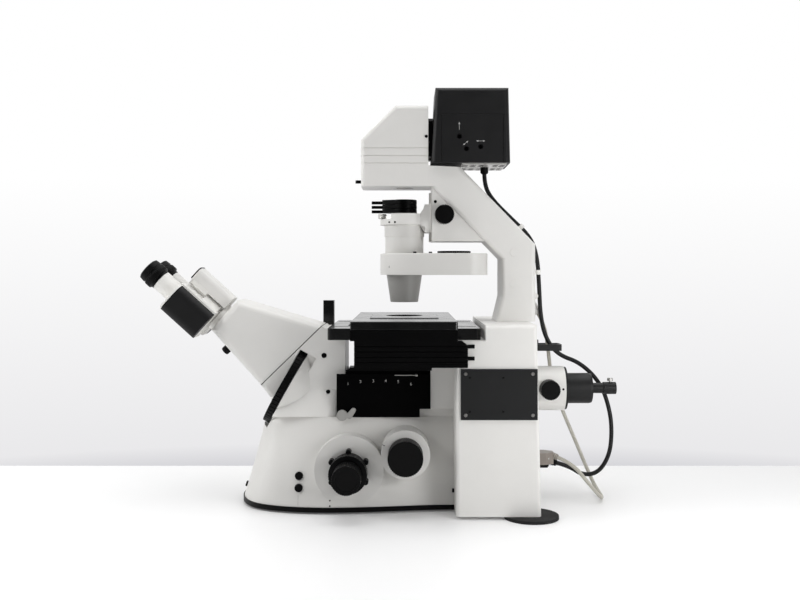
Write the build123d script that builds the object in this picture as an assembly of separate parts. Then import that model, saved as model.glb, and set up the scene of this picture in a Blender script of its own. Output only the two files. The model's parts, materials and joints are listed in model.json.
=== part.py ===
from build123d import *
import os
from math import cos, pi, radians, sin, tan

# Inverted research microscope. All sizes are in millimetres.
# X runs from the eyepieces to the lamp cable side, Y from the user's right to left, Z up from the table.
# While it is built, X = 0 is the optical axis; the end of the script moves the origin under the middle.

# Clearances, and a reach past everything for cuts that run right through
running_gap = 0.06
slide_gap = 0.3
part_gap = 0.5
far = 1000.0

# Rear housing
rear_front_x = 82.6
rear_back_bottom_x = 219.0
rear_back_top_x = 212.0
rear_half_width = 150.0
rear_bottom_z = 5.0
rear_top_z = 310.0
stage_seat_z = 285.0
stage_back_gap = 6.0
core_front_x = 44.0
core_half_width = 72.0
core_bottom_z = 166.0
rear_edge_radius = 7.0

# Side port covers, and the screws in their corners
cover_x = (90.2, 212.2)
cover_z = (159.7, 240.6)
cover_thickness = 3.0
cover_margin = 7.6
cover_screw_head_radius = 3.0
cover_screw_head_top_radius = 2.4
cover_screw_head_height = 1.2
cover_screw_radius = 1.8
cover_screw_depth = 10.0

# Front base
base_plate_bottom_z = 3.0
base_plate_top_z = 11.0
base_plate_margin = 1.5
base_mid_x = -85.0
deck_z = 152.0
base_waist_z = 75.0
base_front_x = (-276.0, -257.0, -238.0)
base_rear_half = (94.9, 84.0, 62.2)
base_widest_half = (113.0, 100.0, 74.0)
base_shoulder_half = (104.0, 92.0, 68.1)
base_brow_half = (76.8, 68.0, 50.3)
base_tip_half = (29.4, 26.0, 19.2)
base_shoulder_length = 76.0
base_brow_length = 26.0
base_tip_length = 2.0
rear_deck_x = 26.0
deck_step_overlap = 10.0

# Feet
rear_foot_radius = 44.0
rear_foot_center = (204.5, 134.0)
front_foot_radius = 17.0
front_foot_center = (-205.0, 70.0)

# Nose
nose_half_width = 50.0
nose_back_x = -100.0
nose_top_z = 299.0
nose_seat_x = -126.0
parting_top = (-139.6, 302.5)
parting_bottom = (-244.0, 201.0)
nose_chin = (-222.7, 174.0)
nose_skirt_top_z = 196.0
nose_skirt_front_x = -226.0
nose_skirt_half_width = 72.0
nose_skirt_corners = (30.0, 22.0)
nose_chin_radius = 10.0

# Tube-lens wheel between the nose and its domed back
wheel_center = (-203.0, 0.0, 200.6)
wheel_tilt = 29.33
wheel_radius = 76.0
wheel_thickness = 12.5
wheel_slot_side = 1.2
wheel_slot_radius = 79.0
wheel_front_reach = 60.0
wheel_axle_radius = 6.0
wheel_grooves = 60
wheel_groove_depth = 1.3
wheel_lens_count = 4
wheel_lens_radius = 14.0
wheel_lens_circle = 45.0
wheel_pocket_radius = 84.0
wheel_pocket_depth = 16.0
wheel_pocket_web = 41.0
dome_start_radius = 75.0
dome_length = 37.0
dome_end_radius = 50.0

# Tube housing
tube_top_front = (-284.6, 346.6)
tube_bottom_front = (-329.9, 296.5)
tube_joint_gap = 1.4
tube_spigot_radius = 34.0
tube_edge_radius = 12.0
pull_knob_center = 0.32
pull_knob_radius = 6.5
pull_knob_length = 11.0
pull_rod_radius = 3.0
pull_rod_length = 30.0

# Binocular head, in its own axes: s across the tube axis, y across the head, t along the tube axis
mount_ring_radius = 26.0
mount_ring_s = -14.0
mount_ring_t = (0.0, 9.0)
hinge_s = 2.0
hinge_pin_radius = 3.5
hinge_knuckle_radius = 6.5
hinge_web_half = 5.2
hinge_web_start_y = 3.0
hinge_web_end_y = 34.0
center_s = (9.0, 29.0)
center_half_width = 22.0
center_edge_radius = 9.0
center_skirt_s = 5.0
center_skirt_y = (18.0, center_half_width)
center_t = (9.0, 86.0)
center_wall = 5.0
center_wall_half_width = 13.2
prism_s = (-62.0, -9.0)
prism_y = (14.0, 70.0)
prism_t = (11.0, 84.0)
prism_edge_radius = 15.0
eye_plate_thickness = 3.0
eye_s = -30.0
eye_y = 32.0
eye_tube_radius = 18.0
eye_tube_end_t = 121.0
eye_sleeve_radius = 11.6
eye_sleeve_length = 24.0
eye_shoulder_gap = 0.1

# Stage
stage_base_half = (124.0, 130.0)
stage_seat_back_x = stage_base_half[0] + stage_back_gap
stage_base_top_z = 303.7
stage_well_x = (-95.0, 70.0)
stage_well_half_width = 57.0
stage_rail_y = 70.0
stage_rail_width = 12.0
stage_rail_depth = 4.0
stage_plate_half = (85.0, 167.0)
stage_plate_top_z = 316.9
carriage_half = (75.0, 80.0)
carriage_thickness = 6.0
carriage_window = (62.0, 45.0)
stage_travel_x = 42.5
stage_travel_y = 65.0
insert_half = (57.5, 80.0)
insert_bottom_z = 312.0
insert_top_z = 318.5
insert_bore_radius = 32.0
drive_proud = 17.0
drive_near_y = -rear_half_width - drive_proud
drive_x = (-78.6, 100.6)
drive_top_gap = 1.0
drive_z = (244.0, stage_seat_z + drive_top_gap)
drive_pin_radius = 3.2
drive_pin_length = 11.0
drive_pin_z = (258.0, 277.0)
drive_fin_count = 5
drive_fin_gap = 2.4
drive_fin_depth = 3.0
post_x = (-150.0, -130.0)
post_y = (92.0, 112.0)
post_z = (290.0, 342.0)

# Nosepiece: the revolver leans forward so that the objective in use stands upright on the optical axis
nose_lean = 10.0
objective_seat_z = 265.0
objective_seat_distance = 190.0
objective_count = 6
objective_radius = 14.0
objective_length = 27.0
objective_thread_radius = 10.0
objective_thread_length = 6.0
revolver_radius = 50.0
revolver_thickness = 14.0
revolver_pin_radius = 6.0
carrier_thickness = 8.0
carrier_half_width = 30.0
carrier_front_x = -50.0
carrier_plate_x = 34.0
carrier_seat_gap = 0.1
carrier_z = (228.0, 282.0)
carrier_rail_width = 8.0

# Reflector module under the nosepiece
module_x = (-98.0, 44.0)
module_y = (-69.0, 60.0)
module_top_z = 224.0
module_wall = 3.0
module_face_x = -113.0
module_face_y = -75.0
module_window_radius = 14.0
reflector_axis_x = -38.0
reflector_radius = 55.0
reflector_cube = (26.0, 28.0, 36.0)
reflector_pin_radius = 4.0
reflector_pin_length = 20.0
reflector_disc_thickness = 4.0
reflector_hub_radius = 10.0
reflector_hub_length = 44.0
reflector_light_radius = 10.0
lever_pivot = (-103.5, 156.0)
lever_tip = (-84.5, 164.5)
lever_bend = (-91.0, 155.5)
lever_boss_radius = 9.0
lever_finger_radius = 4.0
lever_standoff = 1.4
lever_pin_radius = 2.5
lever_pin_length = 5.0
lever_thickness = 6.0

# Focus drive
focus_x = -90.0
focus_z = 71.0
focus_boss_radius = 57.0
focus_boss_y = 112.0
coarse_radius = 31.0
coarse_y = (128.0, 150.0)
coarse_hub_radius = 29.0
coarse_grooves = 48
coarse_lug_count = 6
coarse_lug_radius = 4.5
coarse_lug_reach = 36.5
fine_radius = 23.0
fine_grooves = 40
fine_dish_radius = 18.0
fine_dish_depth = 1.5
fine_end_y = 190.0
focus_sleeve_radius = 11.0
focus_shaft_radius = 5.0
focus_seat_gap = 0.03
knob_groove_depth = 0.9

# Light-path selector
port_x = 2.2
port_z = 98.6
port_radius = 28.3
port_grooves = 48
port_y = (126.0, 160.0)
port_boss_radius = 40.0
port_shaft_radius = 6.0
port_shaft_length = 70.0

# Push buttons on the base
button_x = -172.7
button_z = (59.3, 40.6)
button_radius = 6.7
button_rise = 3.5
button_travel = 2.5
button_well = 10.5
button_edge_radius = 1.2
button_stem_radius = 2.0
button_stem_length = 5.5
switch_z = 24.0
switch_radius = 5.0

# Illumination arm and its foot
arm_half_width = 45.0
arm_x = (166.4, 223.7)
arm_seam_z = 353.0
arm_foot_front_x = 156.0
arm_inner_kink_z = 417.4
arm_outer_kink_z = 442.3
arm_outer_top = (96.1, 573.6)
arm_top_z = 576.0
arm_edge_radius = 7.0
arm_cap_x = 187.0
arm_cap_z = (374.5, 428.0)
arm_cap_radius = 7.0
tilt_x = 226.2
tilt_pin_radius = 2.5
tilt_knuckle_radius = 5.0
tilt_knuckle_y = (12.0, 24.0)

# Illuminator head
head_x = (-74.0, 41.0)
head_z = (541.0, 679.0)
head_half_width = 45.0
head_slope_start_z = 621.0
head_slope_end_x = -15.0
head_edge_radius = 8.0
head_groove_z = (580.1, 592.7, 605.8)
head_groove = 1.2
field_lens_radius = 16.6
field_ring_radius = 30.0
field_ring_z = (549.0, 555.0)
field_lever_end_x = -81.0
field_lever_swing = 20.0

# Lamp housing
lamp_bottom_x = (46.0, 180.0)
lamp_top_x = (53.0, 177.0)
lamp_half_width = 56.0
lamp_z = (580.0, 707.4)
lamp_edge_radius = 8.0
lamp_seam_z = 661.4
lamp_seam = 1.0
lamp_panel_x = (63.0, 167.0)
lamp_flange_z = 621.5
lamp_flange_radius = 31.5
lamp_screw_holes = ((93.4, 624.0), (105.2, 603.3), (129.2, 606.6))
lamp_screw_radius = 3.4
lamp_screw_depth = 9.0
grille_x = (98.0, 174.0)
grille_half_width = 47.0
grille_thickness = 3.0
grille_slots = 9

# Condenser drive under the arm
gusset_x = 47.0
gusset_z = 447.0
gusset_half_width = 38.0
gusset_rail_half_width = 10.0
gusset_rail_depth = 4.0
condenser_knob_center = (68.0, 492.0)
condenser_knob_radius = 16.4
condenser_knob_grooves = 36
condenser_knob_y = (45.0, 65.0)
condenser_shaft_radius = 4.0

# Condenser carrier, aperture ring and filter holders
slide_x = 35.0
slide_z = (463.0, 511.0)
carrier_ring_radius = 42.0
carrier_ring_bore = 30.1
carrier_ring_z = (476.0, 486.0)
carrier_web_x = (26.0, 28.0)
carrier_web_half_width = 26.0
aperture_ring_radius = 39.0
aperture_ring_z = (486.0, 491.0)
aperture_knob_angle = 200.0
aperture_knob_radius = 4.4
aperture_knob_grooves = 18
aperture_groove_depth = 0.5
aperture_knob_reach = (26.0, 47.0)
filter_count = 3
filter_first_z = 497.2
filter_thickness = 5.0
filter_pitch = 7.8
filter_radius = 22.0
filter_bore_radius = 16.0
filter_finger_end_x = -57.0
filter_post_y = 45.0
filter_post_radius = 3.0

# Condenser body and its turret
barrel_top_z = 476.0
barrel_step_z = 456.0
barrel_upper_radius = 34.7
barrel_lower_radius = 33.5
barrel_bore_radius = 22.0
turret_case_z = (389.7, 426.4)
turret_case_front_x = 32.0
turret_case_radius = 74.0
turret_case_back_x = 142.0
turret_case_corner = 35.0
turret_case_wall = 4.0
turret_axis_x = 40.0
turret_radius = 62.0
turret_rim = 2.7
turret_plate_z = (400.0, 406.0)
turret_rim_top_z = 416.0
turret_stops = 6
turret_stop_radius = 14.0
turret_pin_radius = 4.0
thumbwheel_x = 87.0
thumbwheel_radius = 29.0
thumbwheel_grooves = 48
thumbwheel_height = 4.6
thumbwheel_pinion_radius = 11.9
cone_top_radius = 31.0
cone_end_radius = 24.0
cone_end_z = 342.4
cone_bore_radius = 18.0

# Rear light entry
entry_z = 191.5
entry_radius = 38.5
entry_end_x = 277.5
entry_flange_x = 281.5
entry_flange_radius = 37.0
entry_barrel_x = 326.0
entry_barrel_radius = 26.3
entry_neck_x = 347.7
entry_neck_radius = 9.0
entry_end_radius = 10.6
entry_tip_x = 369.6
guide_bore_radius = 5.0
guide_bore_length = 25.0
guide_screw_x = 360.0
guide_screw_radius = 2.0
entry_knob_x = 247.0
entry_knob_z = 195.0
entry_knob_radius = 16.7
entry_knob_grooves = 36
entry_knob_y = (40.0, 62.0)
entry_knob_shaft_radius = 4.0

# Cable bracket, plugs and cables
bracket_x = 273.0
bracket_slot_x = (232.0, 269.0)
bracket_slot_half_width = 15.0
bracket_z = (258.0, 269.0)
bracket_half_width = 19.0
bracket_lip_z = 277.0
plug_seat_depth = 20.0
relief_length = 16.0
lamp_plug_center = (14.0, 58.0)
lamp_plug_radius = 9.0
lamp_plug_body_x = 254.0
lamp_relief_radius = 5.6
grey_plug_center = (-14.0, 73.0)
grey_plug_half = (16.0, 10.0)
grey_plug_body_x = 244.0
grey_plug_tail_x = 258.0
grey_plug_tail_half = 7.0
grey_plug_edge_radius = 2.0
grey_relief_radius = 4.8
gland_radius = 6.0
gland_length = 8.0
lamp_cable_diameter = 7.5
grey_cable_diameter = 6.5
lamp_cable_points = (
    (140.0, 0.0, 569.0),
    (140.0, 0.0, 547.0),
    (158.0, 0.0, 524.0),
    (191.0, 0.0, 493.0),
    (223.0, 0.0, 461.0),
    (238.0, 0.0, 418.0),
    (238.0, 0.0, 367.0),
    (240.0, -2.0, 318.0),
    (246.0, -6.0, 280.0),
    (268.0, -2.0, 250.0),
    (312.0, 18.0, 234.0),
    (350.0, 27.0, 196.0),
    (365.0, 22.0, 148.0),
    (366.0, 12.0, 108.0),
    (361.0, 12.0, 70.0),
    (342.0, 13.0, 40.0),
    (314.0, 14.0, 36.0),
    (291.0, 14.0, 52.0),
    (268.0, 14.0, 58.0),
)
grey_cable_points = (
    (235.0, 8.0, 322.0),
    (246.0, 8.0, 302.0),
    (251.0, 8.0, 274.0),
    (255.0, 14.0, 247.0),
    (262.0, 43.0, 217.0),
    (271.0, 51.0, 181.0),
    (287.0, 49.0, 140.0),
    (307.0, 44.0, 92.0),
    (325.0, 34.0, 46.0),
    (338.0, 18.0, 14.0),
    (344.0, -10.0, 3.8),
    (336.0, -40.0, 9.0),
    (313.0, -42.0, 36.0),
    (290.0, -24.0, 64.0),
    (266.0, -14.0, 73.0),
)

cord_nodes = ("lamp_cable", "grey_cable", "lamp_plug", "grey_plug")
upward = (Align.CENTER, Align.CENTER, Align.MIN)
parts = {}


def block(x, y, z):
    """A box from the low and high value along each axis."""
    sizes = [high - low for low, high in (x, y, z)]
    middle = [(high + low) / 2 for low, high in (x, y, z)]
    return Pos(*middle) * Box(*sizes)


def both(half):
    """The low and high value of something centred on the middle plane."""
    return (-half, half)


def rod(start, along, length, radius):
    """A round bar from a point, along a direction."""
    return Plane(origin=start, z_dir=along) * Cylinder(radius, length, align=upward)


def slab(points, y):
    """An outline of X and Z points, from the low to the high Y."""
    face = make_face(Polyline(*points, close=True))
    return extrude(Plane.XZ.offset(-y[1]) * face, amount=y[1] - y[0])


def turned(profile, origin, along):
    """A profile of radius and height points, turned about a direction through a point."""
    points = [(radius, 0, height) for radius, height in profile]
    solid = revolve(make_face(Polyline(*points, close=True)), Axis.Z)
    return Plane(origin=origin, z_dir=along) * solid


def knurled(radius, grooves, depth):
    """A round outline with V grooves round it."""
    return Circle(radius) - PolarLocations(radius, grooves) * RegularPolygon(depth, 4)


def edges_at(solid, points):
    """The edges whose middles are closest to the points."""
    return [min(solid.edges(), key=lambda edge: (edge.center() - Vector(*point)).length) for point in points]


def side_edges(solid, outline, half_width, corners):
    """The edges of a slab's two flat sides that run between the given pairs of outline corners."""
    middles = []
    for first, second in corners:
        (x0, z0), (x1, z1) = outline[first], outline[second]
        middles += [((x0 + x1) / 2, y, (z0 + z1) / 2) for y in both(half_width)]
    return edges_at(solid, middles)


def group(pieces):
    """Separate solids that belong to one node."""
    return Compound([solid for piece in pieces for solid in piece.solids()])


def mirrored(shape):
    """The same piece on the far side of the middle plane."""
    return mirror(shape, about=Plane.XZ)


def surface_at(solid, start, along):
    """Where a line first meets a solid, and the outward direction there."""
    hits = solid.find_intersection_points(Axis(start, along))
    point, normal = min(hits, key=lambda hit: (hit[0] - Vector(*start)).length)
    return point, normal if normal.dot(Vector(*along)) < 0 else -normal


# Rear housing: the block that carries the stage's back edge, the arm and the light entry
rear_outline = [
    (rear_front_x, rear_bottom_z),
    (rear_back_bottom_x, rear_bottom_z),
    (rear_back_top_x, rear_top_z),
    (stage_seat_back_x, rear_top_z),
    (stage_seat_back_x, stage_seat_z),
    (rear_front_x, stage_seat_z),
]
rear_housing = slab(rear_outline, both(rear_half_width))
rear_housing = fillet(
    side_edges(rear_housing, rear_outline, rear_half_width, ((1, 2), (2, 3), (5, 0))), rear_edge_radius
)
rear_housing += block((core_front_x, rear_front_x), both(core_half_width), (core_bottom_z, stage_seat_z))
for side in (-1, 1):
    rail_y = sorted((side * (carrier_half_width + slide_gap), side * (carrier_half_width + carrier_rail_width)))
    rear_housing += block((core_front_x - carrier_rail_width, core_front_x), rail_y, (carrier_z[0], stage_seat_z - 1))

screw_places = [
    (x, z)
    for x in (cover_x[0] + cover_margin, cover_x[1] - cover_margin)
    for z in (cover_z[0] + cover_margin, cover_z[1] - cover_margin)
]
cover = block(cover_x, (-rear_half_width - cover_thickness, -rear_half_width), cover_z)
screws = []
for x, z in screw_places:
    screw = turned(
        [
            (0, -cover_screw_depth),
            (cover_screw_radius, -cover_screw_depth),
            (cover_screw_radius, cover_thickness),
            (cover_screw_head_radius, cover_thickness),
            (cover_screw_head_top_radius, cover_thickness + cover_screw_head_height),
            (0, cover_thickness + cover_screw_head_height),
        ],
        (x, -rear_half_width, z),
        (0, -1, 0),
    )
    hole = rod((x, -rear_half_width - cover_thickness, z), (0, 1, 0),
               cover_thickness + cover_screw_depth, cover_screw_radius + running_gap)
    cover -= hole
    rear_housing -= hole
    rear_housing -= mirrored(hole)
    screws.append(screw)
parts["side_covers"] = group([cover, mirrored(cover)])
parts["cover_screws"] = group(screws + [mirrored(screw) for screw in screws])


# Front base: a flared skirt lofted through three levels, on a black base plate
def base_section(level, margin=0.0):
    """The plan outline of the base at one level: a rounded front and slightly bowed sides."""
    front_x = base_front_x[level] - margin
    side = [
        (rear_front_x, base_rear_half[level] + margin),
        (base_mid_x - margin, base_widest_half[level] + margin),
        (front_x + base_shoulder_length, base_shoulder_half[level] + margin),
        (front_x + base_brow_length, base_brow_half[level] + margin),
        (front_x + base_tip_length, base_tip_half[level] + margin),
    ]
    near_side = [(x, -y) for x, y in side]
    curve = Spline(*near_side, *reversed(side))
    return make_face(curve + Line(curve @ 1, curve @ 0))


base_z = (base_plate_top_z, base_waist_z, deck_z)
front_base = loft([Pos(0, 0, z) * base_section(level) for level, z in enumerate(base_z)])
front_base += block((rear_deck_x, rear_front_x), both(base_rear_half[-1]), (deck_z - deck_step_overlap, core_bottom_z))
for side in (-1, 1):
    front_base += rod((focus_x, 0, focus_z), (0, side, 0), focus_boss_y, focus_boss_radius)
front_base += rod((port_x, 0, port_z), (0, -1, 0), port_y[0] - part_gap, port_boss_radius)
front_base &= block((-far, rear_front_x), both(far), (base_plate_top_z, core_bottom_z))

parts["base_plate"] = Pos(0, 0, base_plate_bottom_z) * extrude(
    base_section(0, base_plate_margin), amount=base_plate_top_z - base_plate_bottom_z
)

feet = []
for side in (-1, 1):
    x, y = rear_foot_center
    feet.append(Pos(x, side * y, 0) * Cylinder(rear_foot_radius, rear_bottom_z, align=upward))
    x, y = front_foot_center
    feet.append(Pos(x, side * y, 0) * Cylinder(front_foot_radius, base_plate_bottom_z, align=upward))
parts["feet"] = group(feet)

# Nose: carries the tube housing, with a slot for the tube-lens wheel and a dome behind the wheel
wheel_axis = Vector(cos(radians(wheel_tilt)), 0, -sin(radians(wheel_tilt)))
wheel_plane = Plane(origin=wheel_center, x_dir=(0, 1, 0), z_dir=wheel_axis)
slot_half = wheel_thickness / 2 + wheel_slot_side

nose_outline = [
    parting_top,
    parting_bottom,
    nose_chin,
    (nose_skirt_front_x, deck_z),
    (nose_back_x, deck_z),
    (nose_back_x, stage_seat_z),
    (nose_seat_x, stage_seat_z),
    (nose_seat_x, nose_top_z),
    (parting_top[0] + 4, nose_top_z),
]
nose = slab(nose_outline, both(nose_half_width))
nose = fillet(side_edges(nose, nose_outline, nose_half_width, ((1, 2), (2, 3))), nose_chin_radius)
skirt_front_x = base_front_x[-1]
skirt_low = Pos((skirt_front_x + nose_back_x) / 2, 0, deck_z) * RectangleRounded(
    nose_back_x - skirt_front_x, 2 * nose_skirt_half_width, nose_skirt_corners[0]
)
skirt_high = Pos((nose_skirt_front_x + nose_back_x) / 2, 0, nose_skirt_top_z) * RectangleRounded(
    nose_back_x - nose_skirt_front_x, 2 * nose_half_width, nose_skirt_corners[1]
)
nose += loft([skirt_low, skirt_high]) & block((-far, module_face_x), both(far), (0, far))
pocket = wheel_plane * Pos(0, 0, -slot_half) * Cylinder(
    wheel_pocket_radius, 2 * slot_half + wheel_pocket_depth, align=upward
)
pocket &= block((-far, far), both(far), (wheel_center[2], far))
nose -= pocket - block((-far, far), both(wheel_pocket_web), (0, far))
nose += wheel_plane * Pos(0, 0, slot_half) * Cone(
    dome_start_radius, dome_end_radius, dome_length, align=upward
)
ahead = wheel_plane * Pos(0, 0, slot_half) * Box(
    far, 2 * wheel_slot_radius, wheel_front_reach, align=(Align.CENTER, Align.CENTER, Align.MAX)
)
wedge = slab([parting_top, parting_bottom, nose_chin, (parting_top[0], nose_chin[1])], both(nose_half_width))
nose -= ahead - wedge
nose -= wheel_plane * Cylinder(wheel_slot_radius, 2 * slot_half)
nose += wheel_plane * Cylinder(wheel_axle_radius, 2 * slot_half + 16)
nose &= block((-far, nose_back_x), both(far), (0, far))
front_base = front_base - ahead - nose

front_base -= rod((focus_x, -far, focus_z), (0, 1, 0), 2 * far, focus_sleeve_radius + running_gap)
front_base -= rod((port_x, -far, port_z), (0, 1, 0), far - port_y[0] + port_shaft_length,
                  port_shaft_radius + running_gap)

wheel = knurled(wheel_radius, wheel_grooves, wheel_groove_depth)
wheel -= PolarLocations(wheel_lens_circle, wheel_lens_count) * Circle(wheel_lens_radius)
wheel -= Circle(wheel_axle_radius + running_gap)
parts["tube_lens_wheel"] = wheel_plane * extrude(wheel, amount=wheel_thickness / 2, both=True)

# Buttons and the front switch slide on stems that stand along the skirt's own outward direction
button_places = [surface_at(front_base, (button_x, -far, z), (0, 1, 0)) for z in button_z]
button_places.append(surface_at(front_base, (-far, 0, switch_z), (1, 0, 0)))
button_names = ("button_upper", "button_lower", "front_switch")
button_radii = (button_radius, button_radius, switch_radius)
for name, radius, (point, outward) in zip(button_names, button_radii, button_places):
    inner = point - outward * button_well
    front_base -= rod(inner, outward, 2 * button_well, radius + running_gap)
    front_base += rod(inner, outward, button_stem_length, button_stem_radius)
    cap_start = inner + outward * (button_travel + part_gap)
    cap = rod(cap_start, outward, button_well + button_rise - button_travel - part_gap, radius)
    cap = fillet(edges_at(cap, [point + outward * button_rise]), button_edge_radius)
    parts[name] = cap - rod(cap_start, outward, button_stem_length, button_stem_radius + running_gap)
    print(name, [round(v, 4) for v in point], [round(v, 4) for v in -outward])
parts["front_base"] = front_base
parts["nose"] = nose

# Tube housing: a wedge that meets the nose along a narrow shadow gap, seated on a round spigot
parting_line = Vector(parting_bottom[0] - parting_top[0], 0, parting_bottom[1] - parting_top[1]).normalized()
parting_out = Vector(parting_line.Z, 0, -parting_line.X)
shift_x, shift_z = parting_out.X * tube_joint_gap, parting_out.Z * tube_joint_gap
tube_outline = [
    tube_top_front,
    (parting_top[0] + shift_x, parting_top[1] + shift_z),
    (parting_bottom[0] + shift_x, parting_bottom[1] + shift_z),
    tube_bottom_front,
]
tube_housing = slab(tube_outline, both(nose_half_width))
tube_housing = fillet(
    side_edges(tube_housing, tube_outline, nose_half_width, ((0, 1), (2, 3), (3, 0))), tube_edge_radius
)
parting_middle = Vector(
    (parting_top[0] + parting_bottom[0]) / 2, 0, (parting_top[1] + parting_bottom[1]) / 2
)
tube_housing += rod(parting_middle, parting_out, tube_joint_gap + 2, tube_spigot_radius)

# Pull knob of the light switch on the tube's lower face
lower_start = Vector(tube_outline[2][0], 0, tube_outline[2][1])
lower_end = Vector(tube_outline[3][0], 0, tube_outline[3][1])
lower_line = (lower_end - lower_start).normalized()
pull_out = Vector(-lower_line.Z, 0, lower_line.X)
pull_out = pull_out if pull_out.Z < 0 else -pull_out
pull_point = lower_end + (lower_start - lower_end) * pull_knob_center
pull_start = pull_point - pull_out * pull_rod_length
tube_housing -= rod(pull_start - pull_out * 14, pull_out, pull_rod_length + 20, pull_rod_radius + running_gap)
pull_knob = rod(pull_point + pull_out * 4, pull_out, pull_knob_length, pull_knob_radius)
pull_knob = fillet(edges_at(pull_knob, [pull_point + pull_out * (4 + pull_knob_length)]), 2)
parts["pull_knob"] = pull_knob + rod(pull_start, pull_out, pull_rod_length + 6, pull_rod_radius)
parts["tube_housing"] = tube_housing
print("pull_knob", [round(v, 5) for v in pull_out])

# Binocular head: two prism boxes that swing about one pin to set the eye distance
head_back = Vector(tube_bottom_front[0], 0, tube_bottom_front[1])
head_top = Vector(tube_top_front[0], 0, tube_top_front[1])
head_across = (head_top - head_back).normalized()
head_along = Vector(-head_across.Z, 0, head_across.X)
head_plane = Plane(origin=(head_back + head_top) / 2, x_dir=head_across, z_dir=head_along)

ring = Pos(mount_ring_s, 0, mount_ring_t[0]) * Cylinder(
    mount_ring_radius, mount_ring_t[1] - mount_ring_t[0], align=upward
)
center = block(center_s, both(center_half_width), center_t)
center = fillet(center.edges().filter_by(Axis.Z).group_by(Axis.X)[-1], center_edge_radius)
for side_y in (center_skirt_y, (-center_skirt_y[1], -center_skirt_y[0])):
    center += block((center_skirt_s, center_s[0]), side_y, center_t)
wall_s = (hinge_s - hinge_knuckle_radius, center_s[0])
for wall_t in ((center_t[0], center_t[0] + center_wall), (center_t[1] - center_wall, center_t[1])):
    center += block(wall_s, both(center_wall_half_width), wall_t)
center += Pos(hinge_s, 0, center_t[0]) * Cylinder(hinge_pin_radius, center_t[1] - center_t[0], align=upward)
parts["binocular_center"] = head_plane * (center + ring)
print("hinge", [round(v, 4) for v in head_plane.from_local_coords((hinge_s, 0, 0))],
      [round(v, 5) for v in head_along])

knuckle_t = (center_t[0] + center_wall + part_gap, center_t[1] - center_wall - part_gap)
knuckle_middle = sum(knuckle_t) / 2
eye_profile = [
    (0, -eye_sleeve_length),
    (eye_sleeve_radius - running_gap, -eye_sleeve_length),
    (eye_sleeve_radius - running_gap, eye_shoulder_gap),
    (18.5, eye_shoulder_gap),
    (18.5, 4.0),
    (21.5, 5.5),
    (21.5, 16.5),
    (20.2, 17.5),
    (20.2, 19.5),
    (21.0, 20.5),
    (20.0, 29.0),
    (17.5, 30.7),
    (15.0, 30.7),
    (12.0, 24.5),
    (0, 24.5),
]


def prism_box():
    """The near prism box, a dark cover under its pale bracket."""
    box = block(prism_s, (-prism_y[1], -prism_y[0]), prism_t)
    return fillet(box.edges().filter_by(Axis.Z).group_by(Axis.Y)[0], prism_edge_radius)


def eye_tube(low_t, high_t):
    """The near pale bracket: an end plate with the eyepiece tube, a top plate and its hinge knuckle."""
    plate = block(prism_s, (-prism_y[1], -prism_y[0]), (prism_t[1], prism_t[1] + eye_plate_thickness))
    plate = fillet(plate.edges().filter_by(Axis.Z).group_by(Axis.Y)[0], prism_edge_radius)
    top_s = prism_s[1] + eye_plate_thickness
    plate += block(
        (prism_s[1], top_s), (prism_edge_radius - prism_y[1], -prism_y[0]),
        (prism_t[0], prism_t[1] + eye_plate_thickness),
    )
    web = make_face(Polyline(
        (hinge_s + hinge_web_half, -hinge_web_start_y), (top_s, -hinge_web_end_y), (prism_s[1], -hinge_web_end_y),
        (prism_s[1], -prism_y[0]), (hinge_s - hinge_web_half, -hinge_web_start_y), close=True,
    ))
    knuckle = Pos(hinge_s, 0) * Circle(hinge_knuckle_radius) + web
    plate += Pos(0, 0, low_t) * extrude(knuckle, amount=high_t - low_t)
    plate -= Pos(hinge_s, 0, 0) * Cylinder(hinge_pin_radius + running_gap, 2 * center_t[1], align=upward)
    tube = Pos(eye_s, -eye_y, prism_t[1]) * Cylinder(eye_tube_radius, eye_tube_end_t - prism_t[1], align=upward)
    bore = Pos(eye_s, -eye_y, eye_tube_end_t - eye_sleeve_length - 2) * Cylinder(
        eye_sleeve_radius, 2 * eye_sleeve_length, align=upward
    )
    return plate + tube - bore


eyepiece = turned(eye_profile, (eye_s, -eye_y, eye_tube_end_t), (0, 0, 1))
parts["prism_box_near"] = head_plane * prism_box()
parts["prism_box_far"] = head_plane * mirrored(prism_box())
parts["eye_tube_near"] = head_plane * eye_tube(knuckle_t[0], knuckle_middle - part_gap / 2)
parts["eye_tube_far"] = head_plane * mirrored(eye_tube(knuckle_middle + part_gap / 2, knuckle_t[1]))
parts["eyepiece_near"] = head_plane * eyepiece
parts["eyepiece_far"] = head_plane * mirrored(eyepiece)
for side in (-1, 1):
    print("eyepiece axis", [round(v, 4) for v in head_plane.from_local_coords((eye_s, side * eye_y, 0))])

# Stage: a fixed frame, a carriage that moves along X and a plate that moves along Y with its insert
frame_x, frame_y = stage_base_half
stage_base = block(both(frame_x), both(frame_y), (stage_seat_z, stage_base_top_z))
stage_base = fillet(stage_base.edges().filter_by(Axis.Z), 8)
stage_base -= block(stage_well_x, both(stage_well_half_width), (0, far))
stage_base -= block((-far, nose_seat_x + part_gap), both(nose_half_width + part_gap), (0, far))
for side in (-1, 1):
    stage_base -= Pos(0, side * stage_rail_y, stage_base_top_z) * Box(
        2 * frame_x - 8, stage_rail_width, 2 * stage_rail_depth
    )
stage_base += block(post_x, post_y, post_z)
stage_base += block((post_x[0], -frame_x + 10), post_y, (post_z[0], post_z[0] + 9))
parts["stage_base"] = stage_base

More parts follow.
